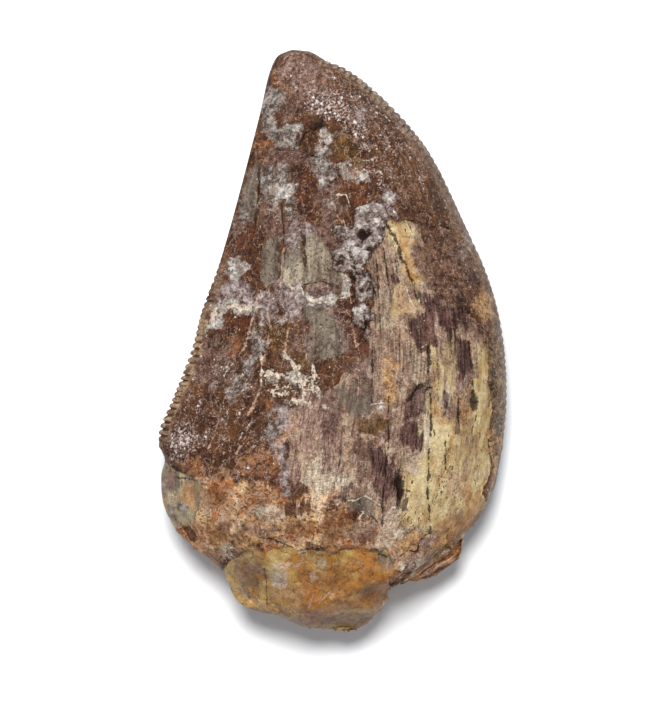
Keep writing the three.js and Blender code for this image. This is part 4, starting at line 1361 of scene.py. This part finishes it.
# Stains: mark, light and dark colour, the pattern that mixes them, softness and straying of the edge in mm,
# strength, the share of it that is left out in patches, and the pattern of the edge
STAINS = [
    ("agate", (218, 202, 172), (122, 105, 88), veiled, 0.3, 2.6, 0.88, 0.1, streaky),
    ("slate", (150, 136, 119), (74, 60, 49), veiled, 0.2, 2.4, 0.88, 0.1, streaky),
    ("umber", (145, 108, 87), (62, 38, 31), mottled, 0.35, 4.4, 0.8, 0.55, stray),
    ("bone", (244, 226, 198), (197, 168, 138), drawn, 0.35, 3.0, 0.92, 0.2, streaky),
    ("ribs", (190, 157, 131), (100, 74, 59), drawn, 0.4, 4.0, 0.65, 0.45, streaky),
    ("russet", (200, 128, 64), (150, 88, 42), cloudy, 0.4, 3.0, 0.8, 0.3, stray),
    ("amber", (222, 172, 118), (176, 126, 82), cloudy, 0.3, 3.0, 0.85, 0.15, stray),
    ("blush", (214, 174, 142), (178, 136, 108), cloudy, 0.3, 3.0, 0.75, 0.2, stray),
    ("chalk", (242, 220, 196), (196, 156, 124), mottled, 0.2, 3.0, 0.85, 0.35, stray),
    ("purple", (124, 86, 80), (42, 22, 22), drawn, 0.12, 2.2, 0.92, 0.2, streaky),
    ("tan", (150, 110, 80), (84, 52, 33), washed, 0.5, 4.0, 0.7, 0.35, stray),
    ("shell", (164, 138, 126), (88, 64, 58), mottled, 0.1, 1.0, 0.9, 0.1, stray),
    ("petal", (194, 158, 140), (104, 73, 65), drawn, 0.35, 3.4, 0.85, 0.25, streaky),
    ("mauve", (152, 120, 108), (94, 66, 56), mottled, 0.35, 4.0, 0.75, 0.5, stray),
    ("rust", (116, 66, 40), (62, 30, 17), mottled, 0.2, 3.0, 0.9, 0.15, streaky),
    ("olive", (132, 94, 50), (76, 50, 22), mottled, 0.2, 4.2, 0.85, 0.25, stray),
    ("lilac", (204, 184, 180), (116, 92, 88), frosted, 0.3, 3.4, 0.88, 0.25, stray),
    ("orange", (180, 124, 80), (126, 74, 42), mottled, 0.25, 3.0, 0.8, 0.35, stray),
    ("tip", (184, 150, 136), (116, 82, 66), mottled, 0.6, 4.0, 0.8, 0.2, stray),
    ("grey", (194, 184, 175), (90, 76, 68), frosted, 0.25, 3.4, 0.88, 0.4, stray),
    ("pale", (240, 233, 224), (158, 144, 132), frosted, 0.12, 2.4, 0.9, 0.25, stray),
    # The dark rim is partly painted shade, on the flank that turns away from the lamp.
    ("dark_shaded_rim", (150, 121, 88), (56, 38, 27), mottled, 0.15, 2.4, 0.9, 0.15, streaky),
]
SMOOTH_STAINS = ("agate", "slate")
WEBBED_STAINS = ("grey", "lilac", "pale")
WEB_WHITE = tone(240, 230, 222)
# Crust colours by knob height: black is painted shade, lilac is partly painted shade, and white is the
# mineral's pale tops with painted highlight.
CRUST_WHITE_AND_HIGHLIGHT = tone(214, 204, 196)
CRUST_LILAC_AND_SHADE = tone(148, 128, 120)
CRUST_PIT_SHADE = tone(62, 44, 36)
SPECKLE_PALE = tone(252, 234, 222)
SPECKLE_PINK = tone(214, 182, 168)
BLOTCH_LILAC = tone(188, 166, 158)
FLECK_DARK = tone(60, 34, 24)
THREAD_TAN = tone(214, 180, 154)
PIT_SHADE = tone(48, 32, 26)
SAW_TAN = tone(206, 174, 140)
SAW_BROWN = tone(128, 92, 70)
# Painted shade in the slits between the denticles.
SAW_SLIT_SHADE = tone(74, 48, 32)
SPECULAR_LEVEL = 0.12  # low, as the stone hardly shines
# The grit and the painted shade of the fine relief leave no less than this share of brightness.
DARKEST_GRIT_AND_SHADE = 0.25  # least brightness that the grit leaves, as a share
# Lines: colour, strength, height in mm
LINES = {
    "crack": (tone(58, 38, 26), 0.85, -0.12),
    "vein": (tone(214, 174, 148), 0.7, 0.03),
    "ridge": (tone(236, 216, 192), 0.8, 0.06),
}


def with_zones(colour, gloss, height, grainy):
    """A finish with those of the zones laid over it, and the share of each point that is bare of enamel."""
    bare = 0
    covers = {}
    for finish, kind, soft, reach in ZONES:
        cover = mark(kind, soft, reach)
        if kind == "cream":
            cover = cover * covers["dentine"].over(0.3, 0.7)
        over_colour, over_gloss, over_height, over_grainy = finish()
        colour = cover.blend(colour, over_colour)
        gloss = gloss + (over_gloss - gloss) * cover
        height = height + (over_height - height) * cover
        grainy = cover * (over_grainy - grainy) + grainy
        bare = cover.maths("MAXIMUM", bare, cover)
        covers[kind] = cover
    return colour, gloss, height, grainy, bare


def with_stains(colour, grainy):
    """The colour and its graininess with the stains laid over them, one after the other."""
    for kind, light, dark, pattern, soft, reach, strength, left_out, edge in STAINS:
        patches = patchy * (strength * left_out) + strength * (1 - left_out)
        cover = mark(kind, soft, reach, edge) * patches
        colour = cover.blend(colour, pattern.over(0.4, 0.6).blend(tone(*dark), tone(*light)))
        if kind in SMOOTH_STAINS:
            grainy = grainy * (1 - cover * 0.6)
        if kind in WEBBED_STAINS:
            grainy = grainy * (1 - cover * 0.3)
            colour = (webs * cover * 0.45).blend(colour, WEB_WHITE)
    return colour, grainy


def with_speckles(colour, height, glossy):
    """Dark flecks, thin tan threads, and pale grains crowded where the enamel is speckled."""
    flecks = place.flecks(0.3, 0.36, 17)
    colour = (flecks * (glossy * 0.45 + 0.1)).blend(colour, FLECK_DARK)
    threads = place.threads((1.0, 1.4, 1.2), 0.012, 19)
    colour = (threads * (glossy * 0.45 + 0.15)).blend(colour, THREAD_TAN)
    strewn = carried("speckle") * (glossy * 0.85 + 0.15)
    crowd = (stray * 1.8 + (washed - 0.5) * 1.6 + strewn).over(0.0, 1.1)
    blotches = place.flecks((0.6, 1.1, 0.8), crowd * 0.75 + 0.06, 18)
    colour = (blotches * (dapple.over(0.42, 0.54) * glossy * 0.3)).blend(colour, BLOTCH_LILAC)
    gaps = place.flecks(0.24, crowd * 0.7 - 0.05, 16)
    colour = (gaps * glossy * 0.7).blend(colour, FLECK_DARK)
    small = place.flecks(0.17, crowd * 0.45 + 0.03, 8)
    large = place.grains(0.34, crowd * 0.9 - 0.04, (dapple - 0.5) * 1.4, 9)
    colour = (small * (glossy * 0.4 + 0.4)).blend(colour, SPECKLE_PINK)
    colour = (large * 0.85).blend(colour, SPECKLE_PALE)
    return colour, height + large * 0.06 + small * 0.03


def with_saw_edges(colour):
    """Tan denticles with painted shade in the slits between them."""
    denticles = carried("saw") * (patchy * 0.45 + 0.4)
    colour = denticles.blend(colour, mottled.over(0.42, 0.56).blend(SAW_BROWN, SAW_TAN))
    # The dark colour in the slits is painted shade.
    return (carried("slit").over(0.12, 0.5) * 0.92).blend(colour, SAW_SLIT_SHADE)


def with_crust(colour, height):
    """The mineral crust, with painted shade low on its knobs and painted highlight on their tops, and
    painted shade in the pits of the stone.
    """
    crust = mark("crust", 0.12, 2.4)
    # The crust's colour follows the height of its knobs: black low down as painted shade, lilac on their
    # sides, partly painted shade, and white on their tops, partly painted highlight.
    knob = lifted + (dapple - 0.5) * 0.9
    crust_colour = knob.over(-0.04, 0.14).blend(CRUST_PIT_SHADE, CRUST_LILAC_AND_SHADE)
    crust_colour = (knob.over(0.09, 0.27) * cloudy.over(0.4, 0.54)).blend(crust_colour, CRUST_WHITE_AND_HIGHLIGHT)
    colour = crust.blend(colour, crust_colour)
    # Painted shade in the pits.
    colour = (mark("pit", 0.15, 1.6) * 0.85).blend(colour, PIT_SHADE)
    return colour, height + crust * dapple * 0.2


def with_lines(colour, height):
    """Cracks, veins and ridges, which wobble and swell along their way and break off here and there."""
    wobble = place.cloud(0.7, 4, 10, 0.66) - 0.5
    spread = place.cloud(0.8, 4, 11, 0.66)
    wide = (spread - 0.42) * 9 + (dapple - 0.5) * 5
    for name, (tint, strength, rise) in LINES.items():
        near = 1 - carried(name + "_away").over(2.6, 5.0)
        line = (wide - abs(carried(name + "_side") + wobble * 3)).over(-0.3, 0.5) * near
        colour = (line * strength).blend(colour, tint)
        height = height + line * rise
    return colour, height


def fossil_stone():
    """Lays the zones, stains, speckles, crust and lines over the enamel, adds grit, paints the high parts of
    the fine relief lighter and its low parts darker as painted light and shade, and links the shader to the
    sum."""
    colour, gloss, height, grainy, bare = with_zones(*enamel())
    colour, grainy = with_stains(colour, grainy)
    colour, height = with_speckles(colour, height, 1 - bare)
    colour, height = with_crust(with_saw_edges(colour), height)
    colour, height = with_lines(colour, height)
    grit = place.cloud(0.15, 4, 20, 0.7)
    dust = place.cloud(0.5, 4, 21, 0.66)
    # The colour is lighter where the fine relief stands high and darker where it lies low, as painted light
    # and shade, on top of the grit's random tone.
    light = ((grit - 0.5) * 4.2 + (dust - 0.5) * 2.6) * grainy + lifted * 1.1 + 1
    colour = brightened(colour, light.maths("MAXIMUM", light, DARKEST_GRIT_AND_SHADE))
    height = height + grit * 0.07
    bump = height.node("Bump", None, {"Height": height, "Distance": MM, "Strength": 1.0}, "Normal")
    for name, value in (("Base Color", colour), ("Roughness", gloss), ("Normal", bump)):
        colour.tree.links.new(value.socket, shader.inputs[name])
    shader.inputs["Specular IOR Level"].default_value = SPECULAR_LEVEL


fossil_stone()
tooth.data.materials.append(stone)
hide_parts("tooth")
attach(tooth, "root")
